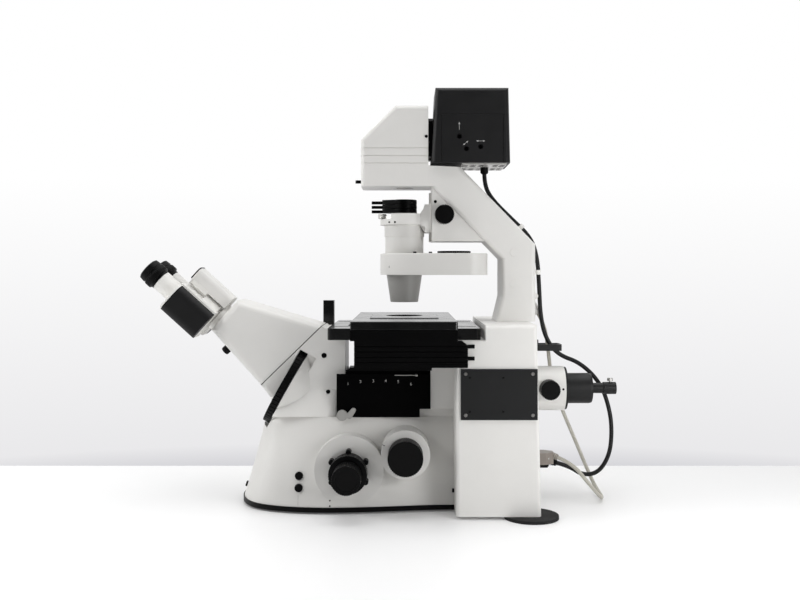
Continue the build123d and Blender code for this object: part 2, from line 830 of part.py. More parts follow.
carriage_top_z = stage_base_top_z + carriage_thickness
carriage = block(both(carriage_half[0]), both(carriage_half[1]), (stage_base_top_z, carriage_top_z))
carriage -= block(both(carriage_window[0]), both(carriage_window[1]), (0, far))
for side in (-1, 1):
    carriage += block(
        both(carriage_half[0]),
        (side * stage_rail_y - stage_rail_width / 2 + slide_gap,
         side * stage_rail_y + stage_rail_width / 2 - slide_gap),
        (stage_base_top_z - stage_rail_depth + slide_gap, stage_base_top_z),
    )
parts["stage_carriage"] = carriage

plate_bottom_z = stage_base_top_z + slide_gap
stage_plate = block(both(stage_plate_half[0]), both(stage_plate_half[1]), (plate_bottom_z, stage_plate_top_z))
stage_plate = fillet(stage_plate.edges().filter_by(Axis.Z), 4)
stage_plate = chamfer(stage_plate.faces().sort_by(Axis.Z)[-1].edges(), 1)
stage_plate -= block(
    both(carriage_half[0] + slide_gap),
    both(carriage_half[1] + stage_travel_y + 1),
    (0, carriage_top_z),
)
stage_plate -= block(both(insert_half[0] - 6), both(insert_half[1] - 6), (0, far))
stage_plate -= block(
    both(insert_half[0] + slide_gap), both(insert_half[1] + slide_gap), (insert_bottom_z, far)
)
parts["stage_plate"] = stage_plate

insert = block(both(insert_half[0]), both(insert_half[1]), (insert_bottom_z, insert_top_z))
insert = chamfer(insert.faces().sort_by(Axis.Z)[-1].edges(), 1.5)
insert -= Pos(0, 0, insert_bottom_z) * Cylinder(insert_bore_radius, 40)
parts["stage_insert"] = insert

# Finned drive housing along the near side of the stage frame
fin_pitch = (drive_z[1] - drive_z[0]) / drive_fin_count
drive = block(drive_x, (drive_near_y, -frame_y), drive_z)
for index in range(1, drive_fin_count):
    z = drive_z[0] + index * fin_pitch
    drive -= block(
        drive_x, (drive_near_y, drive_near_y + drive_fin_depth), (z - drive_fin_gap / 2, z + drive_fin_gap / 2)
    )
drive -= slab(
    [(drive_x[1], drive_z[1]), (drive_x[1], drive_z[1] - 7), (drive_x[1] - 9, drive_z[1])], both(far)
)
drive -= block((rear_front_x - part_gap, far), both(rear_half_width + part_gap), (0, drive_z[1]))
drive += block(
    both(stage_plate_half[0]), (drive_near_y, -frame_y), (drive_z[1], stage_base_top_z - slide_gap)
)
drive += block((drive_x[0] - 8, core_front_x), (drive_near_y + 8, -frame_y), (drive_z[0] - 5, drive_z[0]))
for z in drive_pin_z:
    drive += rod((drive_x[1], drive_near_y + drive_proud / 2, z), (1, 0, 0), drive_pin_length, drive_pin_radius)
parts["stage_drive"] = drive

# Nosepiece: carrier on the focusing slide, leaning revolver and its objectives
lean = radians(nose_lean)
apex = Vector(0, 0, objective_seat_z - objective_seat_distance)
lean_axis = Vector(-sin(lean), 0, cos(lean))
lean_plane = Plane(origin=apex, x_dir=(cos(lean), 0, sin(lean)), z_dir=lean_axis)
seat_circle = objective_seat_distance * sin(lean)
seat_height = objective_seat_distance * cos(lean)
revolver_bottom = seat_height - revolver_thickness
hub_radius = seat_circle - objective_radius
revolver = lean_plane * turned(
    [
        (0, revolver_bottom),
        (revolver_radius, revolver_bottom),
        (revolver_radius, seat_height - (revolver_radius - seat_circle) * tan(lean)),
        (hub_radius, seat_height + (seat_circle - hub_radius) * tan(lean)),
        (0, seat_height + (seat_circle - hub_radius) * tan(lean)),
    ],
    (0, 0, 0),
    (0, 0, 1),
)
objectives = []
for index in range(objective_count):
    turn = Axis(apex, lean_axis)
    shorter = objective_length * (1 - 0.06 * index)
    objective = turned(
        [
            (0, objective_seat_distance - objective_thread_length),
            (objective_thread_radius, objective_seat_distance - objective_thread_length),
            (objective_thread_radius, objective_seat_distance),
            (objective_radius - 1, objective_seat_distance),
            (objective_radius, objective_seat_distance + 1),
            (objective_radius, objective_seat_distance + shorter * 0.62),
            (objective_radius * 0.75, objective_seat_distance + shorter * 0.85),
            (objective_radius * 0.5, objective_seat_distance + shorter),
            (0, objective_seat_distance + shorter),
        ],
        apex,
        (0, 0, 1),
    ).rotate(turn, index * 360 / objective_count)
    bore = rod(apex, (0, 0, 1), 2 * objective_seat_distance, objective_thread_radius + running_gap)
    revolver -= bore.rotate(turn, index * 360 / objective_count)
    objectives.append(objective)
revolver -= lean_plane * Pos(0, 0, revolver_bottom) * Cylinder(
    revolver_pin_radius + running_gap, revolver_thickness * 1.2
)
parts["nosepiece_revolver"] = revolver
parts["objectives"] = group(objectives)

carrier_top = revolver_bottom - slide_gap
carrier = lean_plane * Pos(0, 0, carrier_top - carrier_thickness) * Box(
    far, 2 * carrier_half_width, carrier_thickness, align=upward
)
carrier &= block((carrier_front_x, core_front_x - carrier_seat_gap), both(carrier_half_width), (0, far))
carrier += block((carrier_plate_x, core_front_x - carrier_seat_gap), both(carrier_half_width), carrier_z)
carrier -= Cylinder(objective_thread_radius + 2, 2 * far)
carrier -= lean_plane * Pos(0, 0, carrier_top) * Cylinder(revolver_radius + 1, 40, align=upward)
carrier += lean_plane * Pos(0, 0, carrier_top - carrier_thickness) * Cylinder(
    revolver_pin_radius, carrier_thickness + revolver_thickness * 0.5, align=upward
)
parts["nosepiece_carrier"] = carrier
print("revolver axis", [round(v, 5) for v in apex], [round(v, 5) for v in lean_axis])

# Reflector module: a box on the deck with a six-place reflector turret inside
module = block(module_x, module_y, (deck_z, module_top_z))
module -= block(
    (module_x[0] + module_wall, module_x[1] - module_wall),
    (module_y[0] + module_wall, module_y[1] - module_wall),
    (deck_z + module_wall, module_top_z - module_wall),
)
module -= block((rear_deck_x, far), both(far), (0, core_bottom_z))
module += slab(
    [
        (module_face_x, deck_z), (rear_deck_x, deck_z), (rear_deck_x, core_bottom_z),
        (core_front_x, core_bottom_z), (core_front_x, module_top_z), (module_face_x, module_top_z),
    ],
    (module_face_y, module_y[0]),
)
module += block((rear_deck_x - module_wall, module_x[1]), module_y, (core_bottom_z, core_bottom_z + module_wall))
module += block((rear_deck_x - module_wall, rear_deck_x), module_y, (deck_z, core_bottom_z))
module -= Cylinder(module_window_radius, 2 * far)
module += rod((reflector_axis_x, 0, deck_z), (0, 0, 1), reflector_pin_length, reflector_pin_radius)
module -= rod((lever_pivot[0], module_face_y, lever_pivot[1]), (0, 1, 0), lever_pin_length, lever_pin_radius + running_gap)
module -= block((module_face_x, nose_back_x + part_gap), (-nose_half_width - part_gap, 0), (0, far))
parts["reflector_module"] = module

cube_x, cube_y, cube_z = reflector_cube
reflector_z = deck_z + module_wall + part_gap
reflector_reach = Vector(-reflector_axis_x, 0, 0)
turret_disc = Cylinder(reflector_radius, reflector_disc_thickness, align=upward)
turret_disc += Cylinder(reflector_hub_radius, reflector_hub_length, align=upward)
for location in PolarLocations(reflector_reach.X, 6):
    turret_disc += location * Pos(0, 0, reflector_disc_thickness) * Box(cube_x, cube_y, cube_z, align=upward)
for location in PolarLocations(reflector_reach.X, 6):
    turret_disc -= location * Cylinder(reflector_light_radius, 2 * far)
turret_disc -= Cylinder(reflector_pin_radius + running_gap, 2 * cube_z)
turret_limit = Pos(reflector_axis_x, 0, 0) * Cylinder(reflector_radius, 2 * far)
parts["reflector_turret"] = turret_limit & (Pos(reflector_axis_x, 0, reflector_z) * turret_disc)

lever_y = module_face_y - lever_standoff
lever_curve = [lever_pivot, lever_bend, lever_tip]
lever = Pos(*lever_curve[0]) * Circle(lever_boss_radius)
for first, second in zip(lever_curve, lever_curve[1:]):
    lever += make_hull(
        (Pos(*first) * Circle(lever_finger_radius + 1)).edges() + (Pos(*second) * Circle(lever_finger_radius)).edges()
    )
lever = extrude(Plane.XZ.offset(-lever_y) * lever, amount=lever_thickness)
lever += rod((lever_pivot[0], lever_y, lever_pivot[1]), (0, 1, 0), lever_pin_length, lever_pin_radius)
parts["module_lever"] = lever

# Focus drive: coarse knobs on a sleeve through the base, fine knobs on a shaft inside the sleeve
focus_point = (focus_x, 0, focus_z)
lug_circle = coarse_lug_reach - coarse_lug_radius
coarse_sketch = Circle(coarse_hub_radius) + PolarLocations(lug_circle, coarse_lug_count) * Circle(coarse_lug_radius)
coarse_back = focus_boss_y + part_gap
lug_ring = extrude(coarse_sketch, amount=coarse_y[0] - coarse_back)
grip = Pos(0, 0, coarse_y[0] - coarse_back) * extrude(
    knurled(coarse_radius, coarse_grooves, knob_groove_depth), amount=coarse_y[1] - coarse_y[0]
)
coarse_body = lug_ring + grip
coarse_near_plane = Plane(origin=(focus_x, -coarse_back, focus_z), z_dir=(0, -1, 0))
shaft_hole = rod((focus_x, -far, focus_z), (0, 1, 0), 2 * far, focus_shaft_radius + running_gap)
coarse_near = coarse_near_plane * coarse_body + rod(
    (focus_x, -coarse_y[0], focus_z), (0, 1, 0), 2 * coarse_y[0] - 2, focus_sleeve_radius
) - shaft_hole
coarse_far = mirrored(coarse_near_plane * coarse_body) - rod(
    (focus_x, 0, focus_z), (0, 1, 0), coarse_y[0], focus_sleeve_radius + focus_seat_gap
) - shaft_hole
parts["coarse_knobs"] = group([coarse_near, coarse_far])

fine_length = fine_end_y - coarse_y[1] - part_gap
fine_body = extrude(knurled(fine_radius, fine_grooves, knob_groove_depth), amount=fine_length)
fine_body -= Pos(0, 0, fine_length) * Cylinder(fine_dish_radius, 2 * fine_dish_depth)
fine_plane = Plane(origin=(focus_x, -coarse_y[1] - part_gap, focus_z), z_dir=(0, -1, 0))
fine_near = fine_plane * fine_body + rod(
    (focus_x, -coarse_y[1] - 5, focus_z), (0, 1, 0), 2 * coarse_y[1] + 22, focus_shaft_radius
)
fine_far = mirrored(fine_plane * fine_body) - rod(
    (focus_x, 0, focus_z), (0, 1, 0), coarse_y[1] + 17.2, focus_shaft_radius + focus_seat_gap
)
parts["fine_knobs"] = group([fine_near, fine_far])

# Light-path selector knob
port_knob = extrude(knurled(port_radius, port_grooves, knob_groove_depth), amount=port_y[1] - port_y[0])
port_knob = Plane(origin=(port_x, -port_y[0], port_z), z_dir=(0, -1, 0)) * port_knob
parts["port_knob"] = port_knob + rod(
    (port_x, -port_y[0] - 4, port_z), (0, 1, 0), port_shaft_length, port_shaft_radius
)

# Illumination arm: tilts back on a hinge at the rear edge of its foot
foot_outline = [
    (arm_foot_front_x, rear_top_z), (arm_x[1], rear_top_z), (arm_x[1], arm_seam_z), (arm_x[0], arm_seam_z)
]
arm_foot = slab(foot_outline, both(arm_half_width))
arm_foot = fillet(side_edges(arm_foot, foot_outline, arm_half_width, ((1, 2), (3, 0))), arm_edge_radius)
arm_outline = [
    (arm_x[0], arm_seam_z),
    (arm_x[1], arm_seam_z),
    (arm_x[1], arm_outer_kink_z),
    arm_outer_top,
    (head_x[1], arm_top_z),
    (head_x[1], head_z[0]),
    (head_x[1] + 5, head_z[0]),
    (arm_x[0], arm_inner_kink_z),
]
arm = slab(arm_outline, both(arm_half_width))
arm = fillet(
    side_edges(arm, arm_outline, arm_half_width, ((1, 2), (2, 3), (6, 7), (7, 0))), arm_edge_radius
)
for side in (-1, 1):
    for z in arm_cap_z:
        arm += rod((arm_cap_x, side * (arm_half_width - 2), z), (0, side, 0), 3, arm_cap_radius)
inner_y, outer_y = tilt_knuckle_y
for y in ((-outer_y, -inner_y), (-inner_y, inner_y), (inner_y, outer_y)):
    knuckle_y = (y[0] + part_gap / 2, y[1] - part_gap / 2)
    ring = rod((tilt_x, knuckle_y[0], arm_seam_z), (0, 1, 0), knuckle_y[1] - knuckle_y[0], tilt_knuckle_radius)
    clear = rod((tilt_x, y[0], arm_seam_z), (0, 1, 0), y[1] - y[0], tilt_knuckle_radius + part_gap)
    if y[0] < 0 < y[1]:
        arm -= clear
        arm_foot += ring + block((arm_x[1] - 1, tilt_x), knuckle_y, (arm_seam_z - 10, arm_seam_z))
    else:
        arm_foot -= clear
        arm += ring + block((arm_x[1] - 1, tilt_x), knuckle_y, (arm_seam_z, arm_seam_z + 10))
pin_line = rod((tilt_x, -outer_y, arm_seam_z), (0, 1, 0), 2 * outer_y, tilt_pin_radius)
arm -= rod((tilt_x, -outer_y - 1, arm_seam_z), (0, 1, 0), 2 * outer_y + 2, tilt_pin_radius + running_gap)
arm_foot += pin_line
grey_start = Vector(*grey_cable_points[0])
grey_way = (Vector(*grey_cable_points[1]) - grey_start).normalized()
grey_gland = rod(grey_start - grey_way * 4 * gland_length, grey_way, 4 * gland_length, gland_radius)
arm_foot += grey_gland & block((arm_x[0], far), both(arm_half_width), (rear_top_z, arm_seam_z - 12))
parts["arm_foot"] = arm_foot
parts["arm"] = arm

# Illuminator head with its field diaphragm lever
head_outline = [
    (head_x[0], head_z[0]), (head_x[1], head_z[0]), (head_x[1], head_z[1]),
    (head_slope_end_x, head_z[1]), (head_x[0], head_slope_start_z),
]
head = slab(head_outline, both(head_half_width))
head = fillet(
    side_edges(head, head_outline, head_half_width, ((2, 3), (3, 4), (4, 0))), head_edge_radius
)
for z in head_groove_z:
    level = (z - head_groove / 2, z + head_groove / 2)
    outer = block((head_x[0] - 1, head_x[1]), both(head_half_width + 1), level)
    inner = block((head_x[0] + head_groove, head_x[1]), both(head_half_width - head_groove), level)
    head -= outer - inner
head -= Pos(0, 0, head_z[0]) * Cylinder(field_lens_radius, 60)
head -= Pos(0, 0, field_ring_z[0]) * Cylinder(
    field_ring_radius, field_ring_z[1] - field_ring_z[0], align=upward
)
slot_half_width = -head_x[0] * tan(radians(field_lever_swing)) + 6
head -= slab(
    [(head_x[0] - 1, field_ring_z[0]), (0, field_ring_z[0]), (0, field_ring_z[1]), (head_x[0] - 1, field_ring_z[1])],
    both(slot_half_width),
)
parts["illuminator_head"] = head

field_low, field_high = field_ring_z[0] + 0.4, field_ring_z[1] - 0.4
field_ring = Pos(0, 0, field_ring_z[0]) * Cylinder(
    field_ring_radius - running_gap, field_high - field_ring_z[0], align=upward
)
field_ring -= Cylinder(field_lens_radius, 2 * far)
field_ring += block((field_lever_end_x, -field_lens_radius), both(3), (field_low, field_high))
parts["field_lever"] = field_ring + Pos(field_lever_end_x, 0, field_low) * Cylinder(
    4.5, field_high - field_low, align=upward
)

# Lamp housing on the head's back, with an inset panel, vents and three adjusting screw holes
lamp_outline = [
    (lamp_bottom_x[0], lamp_z[0]), (lamp_bottom_x[1], lamp_z[0]),
    (lamp_top_x[1], lamp_z[1]), (lamp_top_x[0], lamp_z[1]),
]
lamp = slab(lamp_outline, both(lamp_half_width))
lamp = fillet(
    side_edges(lamp, lamp_outline, lamp_half_width, ((1, 2), (2, 3), (3, 0))), lamp_edge_radius
)
lamp -= block((0, far), both(far), (lamp_seam_z, lamp_seam_z + lamp_seam)) - block(
    (lamp_bottom_x[0] + 6, lamp_bottom_x[1] - 4), both(lamp_half_width - lamp_seam), (0, 2 * far)
)
for side in (-1, 1):
    face_y = sorted((side * lamp_half_width, side * (lamp_half_width - lamp_seam)))
    for x in lamp_panel_x:
        lamp -= block((x, x + lamp_seam), face_y, (lamp_z[0], lamp_seam_z))
for index in range(6):
    x = lamp_top_x[0] + 24 + index * 15
    lamp -= block((x, x + 6), both(lamp_half_width - 18), (lamp_z[1] - 4, lamp_z[1]))
for x, z in lamp_screw_holes:
    lamp -= rod((x, -lamp_half_width, z), (0, 1, 0), lamp_screw_depth, lamp_screw_radius)
    lamp += rod((x, -lamp_half_width + 3, z), (0, 1, 0), lamp_screw_depth, lamp_screw_radius - 1)
lamp += rod((head_x[1], 0, lamp_flange_z), (1, 0, 0), lamp_bottom_x[0] - head_x[1] + 8, lamp_flange_radius)
parts["lamp_housing"] = lamp

grille = block(grille_x, both(grille_half_width), (lamp_z[0] - grille_thickness, lamp_z[0]))
slot_pitch = 2 * grille_half_width / (grille_slots + 1)
for index in range(grille_slots):
    y = -grille_half_width + (index + 1) * slot_pitch
    for x in ((grille_x[0] + 6, lamp_cable_points[0][0] - 12), (lamp_cable_points[0][0] + 12, grille_x[1] - 5)):
        grille -= block(x, (y - 2, y + 2), (0, 2 * far))
cable_start = Vector(*lamp_cable_points[0])
grille += rod(cable_start, (0, 0, 1), lamp_z[0] - cable_start.Z, gland_radius)
parts["lamp_grille"] = grille

# Condenser drive: a gusset under the arm with a rail, and the knob that raises the carrier
slope = (head_z[0] - arm_inner_kink_z) / (arm_x[0] - head_x[1] - 5)
gusset_back_x = arm_x[0] - (gusset_z - arm_inner_kink_z) / slope
gusset_top_z = head_z[0] - (gusset_x - head_x[1] - 5) * slope
gusset = slab(
    [(gusset_x, gusset_z), (gusset_back_x, gusset_z), (gusset_x, gusset_top_z)], both(gusset_half_width)
)
gusset += block(
    (gusset_x - gusset_rail_depth, gusset_x), both(gusset_rail_half_width), (gusset_z, gusset_top_z - 8)
)
knob_x, knob_z = condenser_knob_center
gusset -= rod((knob_x, -gusset_half_width, knob_z), (0, 1, 0), 60, condenser_shaft_radius + running_gap)
parts["condenser_gusset"] = gusset
condenser_knob = extrude(
    knurled(condenser_knob_radius, condenser_knob_grooves, knob_groove_depth),
    amount=condenser_knob_y[1] - condenser_knob_y[0],
)
condenser_knob = Plane(origin=(knob_x, -condenser_knob_y[0], knob_z), z_dir=(0, -1, 0)) * condenser_knob
parts["condenser_knob"] = condenser_knob + rod(
    (knob_x, -condenser_knob_y[0] - 3, knob_z), (0, 1, 0), 60, condenser_shaft_radius
)

# Condenser carrier: slide plate, web and ring, with the post that the filter holders swing on
ring_low, ring_high = carrier_ring_z
slide = block((slide_x, gusset_x), both(gusset_half_width - 8), slide_z)
slide += slab(
    [
        (carrier_web_x[0], ring_low), (slide_x, slide_z[0]),
        (slide_x, slide_z[1]), (carrier_web_x[1], ring_high),
    ],
    both(carrier_web_half_width),
)
slide += Pos(0, 0, ring_low) * Cylinder(carrier_ring_radius, ring_high - ring_low, align=upward)
slide += Pos(0, filter_post_y, ring_low) * Cylinder(9, ring_high - ring_low, align=upward)
slide -= Pos(0, 0, ring_high) * Cylinder(aperture_ring_radius + part_gap, far, align=upward) & block(
    (-far, gusset_x - 4), both(far), (ring_high, aperture_ring_z[1] + part_gap)
)
slide -= Cylinder(carrier_ring_bore, 2 * far) & block((-far, far), both(far), (0, ring_high))
slide -= Cylinder(barrel_upper_radius + part_gap, 2 * far) & block((-far, far), both(far), (0, ring_low))
slide -= block(
    (gusset_x - gusset_rail_depth - slide_gap, far), both(gusset_rail_half_width + slide_gap), (0, 2 * far)
)
post_top_z = filter_first_z + (filter_count - 1) * filter_pitch + filter_thickness
slide += Pos(0, filter_post_y, ring_high) * Cylinder(filter_post_radius, post_top_z - ring_high, align=upward)
slide += Pos(0, filter_post_y, ring_high) * Cylinder(5, filter_first_z - ring_high, align=upward)
for index in range(filter_count - 1):
    low = filter_first_z + filter_thickness + index * filter_pitch
    slide += Pos(0, filter_post_y, low) * Cylinder(5, filter_pitch - filter_thickness, align=upward)
parts["condenser_slide"] = slide

aperture = Pos(0, 0, ring_high) * Cylinder(aperture_ring_radius, aperture_ring_z[1] - ring_high, align=upward)
aperture -= Cylinder(carrier_ring_bore, 2 * far)
knob_way = Vector(cos(radians(aperture_knob_angle)), sin(radians(aperture_knob_angle)), 0)
knob_height = Vector(0, 0, ring_high + aperture_knob_radius + slide_gap)
reach_low, reach_high = aperture_knob_reach
aperture_grip = extrude(
    knurled(aperture_knob_radius, aperture_knob_grooves, aperture_groove_depth),
    amount=reach_high - reach_low - 8,
)
aperture += Plane(origin=knob_way * (reach_low + 8) + knob_height, z_dir=knob_way) * aperture_grip
parts["aperture_ring"] = aperture - Cylinder(carrier_ring_bore, 2 * far)

holder = make_hull(
    Circle(filter_radius).edges() + (Pos(-30, 0) * Circle(9)).edges()
) + make_hull(Circle(12).edges() + (Pos(0, filter_post_y) * Circle(7)).edges())
holder += Pos((filter_finger_end_x - 30) / 2, 0) * Rectangle(-30 - filter_finger_end_x, 8)
holder -= Circle(filter_bore_radius)
holder -= Pos(0, filter_post_y) * Circle(filter_post_radius + running_gap)
for index in range(filter_count):
    z = filter_first_z + index * filter_pitch
    parts[f"filter_holder_{index + 1}"] = Pos(0, 0, z) * extrude(holder, amount=filter_thickness)

# Condenser body: barrel on a D-shaped turret case
case_low, case_high = turret_case_z


def case_outline(inset):
    """The plan outline of the turret case, moved in by an inset."""
    radius = turret_case_radius - inset
    back = turret_case_back_x - inset
    front = turret_case_front_x - turret_case_corner
    rear = Pos((front + back) / 2, 0) * RectangleRounded(back - front, 2 * radius, turret_case_corner - inset)
    return Pos(turret_case_front_x, 0) * Circle(radius) + rear


condenser = Pos(0, 0, case_low) * extrude(case_outline(0), amount=case_high - case_low)
condenser = fillet(condenser.faces().sort_by(Axis.Z)[-1].edges(), 2)
condenser -= Pos(0, 0, case_low + turret_case_wall) * extrude(
    case_outline(turret_case_wall), amount=case_high - case_low - 2 * turret_case_wall
)
condenser += Pos(0, 0, case_high) * Cylinder(barrel_lower_radius, barrel_step_z - case_high, align=upward)
condenser += Pos(0, 0, barrel_step_z) * Cylinder(
    barrel_upper_radius, barrel_top_z - barrel_step_z, align=upward
)
condenser += Pos(0, 0, barrel_top_z) * Cylinder(
    carrier_ring_bore - running_gap, ring_high - barrel_top_z, align=upward
)
condenser -= Cylinder(barrel_bore_radius, 2 * far)
condenser += rod((turret_axis_x, 0, case_low), (0, 0, 1), turret_rim_top_z - case_low - 2, turret_pin_radius)
condenser -= rod((thumbwheel_x, 0, case_high - 10), (0, 0, 1), 40, turret_pin_radius + running_gap)
parts["condenser_body"] = condenser

rim_low, rim_high = turret_plate_z
turret = Pos(0, 0, rim_low) * Cylinder(turret_radius, rim_high - rim_low, align=upward)
for location in PolarLocations(turret_axis_x, turret_stops):
    turret -= location * Cylinder(turret_stop_radius, 2 * far)
turret += Pos(0, 0, rim_high) * (
    Cylinder(turret_radius, turret_rim_top_z - rim_high, align=upward)
    - Cylinder(turret_radius - turret_rim, far)
)
turret += Pos(0, 0, case_low + turret_case_wall) * Cylinder(9, rim_low - case_low - turret_case_wall, align=upward)
turret -= Cylinder(turret_pin_radius + running_gap, 2 * far)
parts["condenser_turret"] = Pos(turret_axis_x, 0, 0) * turret

thumbwheel = Pos(thumbwheel_x, 0, case_high) * extrude(
    knurled(thumbwheel_radius, thumbwheel_grooves, knob_groove_depth), amount=thumbwheel_height
)
pinion_low = rim_high + 2
thumbwheel += rod((thumbwheel_x, 0, pinion_low), (0, 0, 1), case_high - pinion_low + 2, turret_pin_radius)
thumbwheel += rod((thumbwheel_x, 0, pinion_low), (0, 0, 1), turret_rim_top_z - pinion_low, thumbwheel_pinion_radius)
parts["turret_thumbwheel"] = thumbwheel

parts["condenser_cone"] = turned(
    [
        (cone_bore_radius, cone_end_z), (cone_end_radius, cone_end_z), (cone_end_radius + 0.6, cone_end_z + 3),
        (cone_top_radius, case_low), (cone_bore_radius, case_low),
    ],
    (0, 0, 0),
    (0, 0, 1),
)

# Rear light entry: pale collimator tube, black light-guide adapter, side knob and clamping screw
entry = rod((rear_front_x + 60, 0, entry_z), (1, 0, 0), entry_end_x - rear_front_x - 60, entry_radius)
entry -= rear_housing
entry = entry.solids().sort_by(Axis.X)[-1]
entry -= rod((entry_knob_x, -entry_radius - 5, entry_knob_z), (0, 1, 0), 30, entry_knob_shaft_radius + running_gap)
parts["light_entry"] = entry
adapter = turned(
    [
        (0, entry_end_x),
        (entry_flange_radius, entry_end_x),
        (entry_flange_radius, entry_flange_x),
        (entry_barrel_radius, entry_flange_x),
        (entry_barrel_radius, entry_barrel_x - 4),
        (entry_barrel_radius - 1, entry_barrel_x),
        (entry_end_radius, entry_barrel_x),
        (entry_neck_radius, entry_barrel_x + 3),
        (entry_neck_radius, entry_neck_x),
        (entry_end_radius, entry_neck_x),
        (entry_end_radius, entry_tip_x),
        (0, entry_tip_x),
    ],
    (0, 0, entry_z),
    (1, 0, 0),
)
adapter -= rod((entry_tip_x, 0, entry_z), (-1, 0, 0), guide_bore_length, guide_bore_radius)
adapter -= rod((guide_screw_x, 0, entry_z), (0, 0, 1), 40, guide_screw_radius + running_gap)
parts["guide_adapter"] = adapter
screw_low = entry_z + guide_bore_radius + 1
guide_screw = rod((guide_screw_x, 0, screw_low), (0, 0, 1), 12, guide_screw_radius)
parts["guide_screw"] = guide_screw + rod((guide_screw_x, 0, entry_z + entry_end_radius + 2), (0, 0, 1), 5, 5)
entry_knob = extrude(
    knurled(entry_knob_radius, entry_knob_grooves, knob_groove_depth), amount=entry_knob_y[1] - entry_knob_y[0]
)
entry_knob = Plane(origin=(entry_knob_x, -entry_knob_y[0], entry_knob_z), z_dir=(0, -1, 0)) * entry_knob
parts["entry_knob"] = entry_knob + rod(
    (entry_knob_x, -entry_knob_y[0] - 3, entry_knob_z), (0, 1, 0), 20, entry_knob_shaft_radius
)

# Cable bracket, plugs and cables behind the rear housing
bracket = block((rear_back_top_x - 8, bracket_x), both(bracket_half_width), bracket_z)
bracket += block((rear_back_top_x - 8, bracket_slot_x[0]), both(bracket_half_width), (bracket_z[1], bracket_lip_z))
bracket = fillet(bracket.edges().filter_by(Axis.Z).group_by(Axis.X)[-1], 4)
bracket -= block(bracket_slot_x, both(bracket_slot_half_width), (0, far))
bracket -= rear_housing
parts["cable_bracket"] = bracket


def strain_relief(points, radius):
    """A round sleeve that leaves a plug along the last run of its cable and ends where the cable does."""
    last, before = Vector(*points[-1]), Vector(*points[-2])
    back = (last - before).normalized()
    return rod(last, back, relief_length, radius)


plug_start_x = rear_back_bottom_x - plug_seat_depth
lamp_plug = turned(
    [
        (0, plug_start_x), (lamp_plug_radius, plug_start_x), (lamp_plug_radius, lamp_plug_body_x - 2),
        (lamp_plug_radius - 2, lamp_plug_body_x), (0, lamp_plug_body_x),
    ],
    (0, *lamp_plug_center),
    (1, 0, 0),
)
lamp_plug += strain_relief(lamp_cable_points, lamp_relief_radius)
parts["lamp_plug"] = lamp_plug - rear_housing
plug_y, plug_z = grey_plug_center
plug_outline = Polyline(
    (plug_start_x, plug_y - grey_plug_half[0]), (grey_plug_body_x, plug_y - grey_plug_half[0]),
    (grey_plug_tail_x, plug_y - grey_plug_tail_half), (grey_plug_tail_x, plug_y + grey_plug_tail_half),
    (grey_plug_body_x, plug_y + grey_plug_half[0]), (plug_start_x, plug_y + grey_plug_half[0]), close=True,
)
hood = extrude(Pos(0, 0, plug_z) * make_face(plug_outline), amount=grey_plug_half[1], both=True)
hood = fillet(hood.edges().filter_by(Axis.Z), grey_plug_edge_radius)
hood += strain_relief(grey_cable_points, grey_relief_radius)
parts["grey_plug"] = hood - rear_housing
parts["rear_housing"] = rear_housing


def cable(name, points, diameter):
    """A round cable along straight runs joined by tangent arcs as wide as the runs allow."""
    corners = [Vector(*point) for point in points]
    radii = []
    for before, corner, after in zip(corners, corners[1:], corners[2:]):
        shorter = min((corner - before).length, (after - corner).length)
        half_turn = radians((corner - before).get_angle(after - corner)) / 2
        radii.append(0.45 * shorter / tan(half_turn))
    path = FilletPolyline(*corners, radius=radii)
    section = Plane(origin=path @ 0, z_dir=path % 0) * Circle(diameter / 2)
    solid = sweep(section, path=path)
    filled = solid.volume / (pi * diameter**2 / 4 * path.length)
    print(name, "length", round(path.length, 1), "volume ratio", round(filled, 4),
          "radii", [round(radius) for radius in radii])
    return solid


parts["lamp_cable"] = cable("lamp_cable", lamp_cable_points, lamp_cable_diameter)
parts["grey_cable"] = cable("grey_cable", grey_cable_points, grey_cable_diameter)

# Move the origin under the middle of everything but the cables, and write one file for each piece
boxes = [shape.bounding_box() for node, shape in parts.items() if node not in cord_nodes]
middle_x = (min(box.min.X for box in boxes) + max(box.max.X for box in boxes)) / 2
print("optical axis at x =", round(-middle_x, 4))
print("extent", [round(max(getattr(box.max, a) for box in boxes) - min(getattr(box.min, a) for box in boxes), 1)
                 for a in "XYZ"])
os.makedirs("parts", exist_ok=True)
for node, shape in parts.items():
    export_step(Pos(-middle_x, 0, 0) * shape, f"parts/{node}.step")
print(len(parts), "pieces")
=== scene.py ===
import json
import math
import bmesh
import bpy
from mathutils import Matrix, Vector


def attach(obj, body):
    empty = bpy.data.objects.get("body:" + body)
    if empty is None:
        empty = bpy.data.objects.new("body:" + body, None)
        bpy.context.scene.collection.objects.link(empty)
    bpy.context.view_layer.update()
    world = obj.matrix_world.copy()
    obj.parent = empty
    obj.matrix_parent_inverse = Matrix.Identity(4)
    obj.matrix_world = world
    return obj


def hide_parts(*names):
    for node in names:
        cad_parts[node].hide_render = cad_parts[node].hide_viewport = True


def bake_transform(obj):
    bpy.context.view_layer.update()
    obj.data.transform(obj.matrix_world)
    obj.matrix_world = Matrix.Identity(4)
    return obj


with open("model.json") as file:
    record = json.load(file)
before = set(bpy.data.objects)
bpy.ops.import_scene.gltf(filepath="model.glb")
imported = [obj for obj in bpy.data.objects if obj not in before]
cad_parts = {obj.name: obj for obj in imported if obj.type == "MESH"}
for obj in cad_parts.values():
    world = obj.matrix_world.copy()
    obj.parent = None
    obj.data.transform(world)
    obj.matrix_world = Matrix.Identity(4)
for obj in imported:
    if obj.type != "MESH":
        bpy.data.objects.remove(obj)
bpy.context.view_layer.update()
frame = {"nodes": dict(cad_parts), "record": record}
nodes = frame["nodes"]

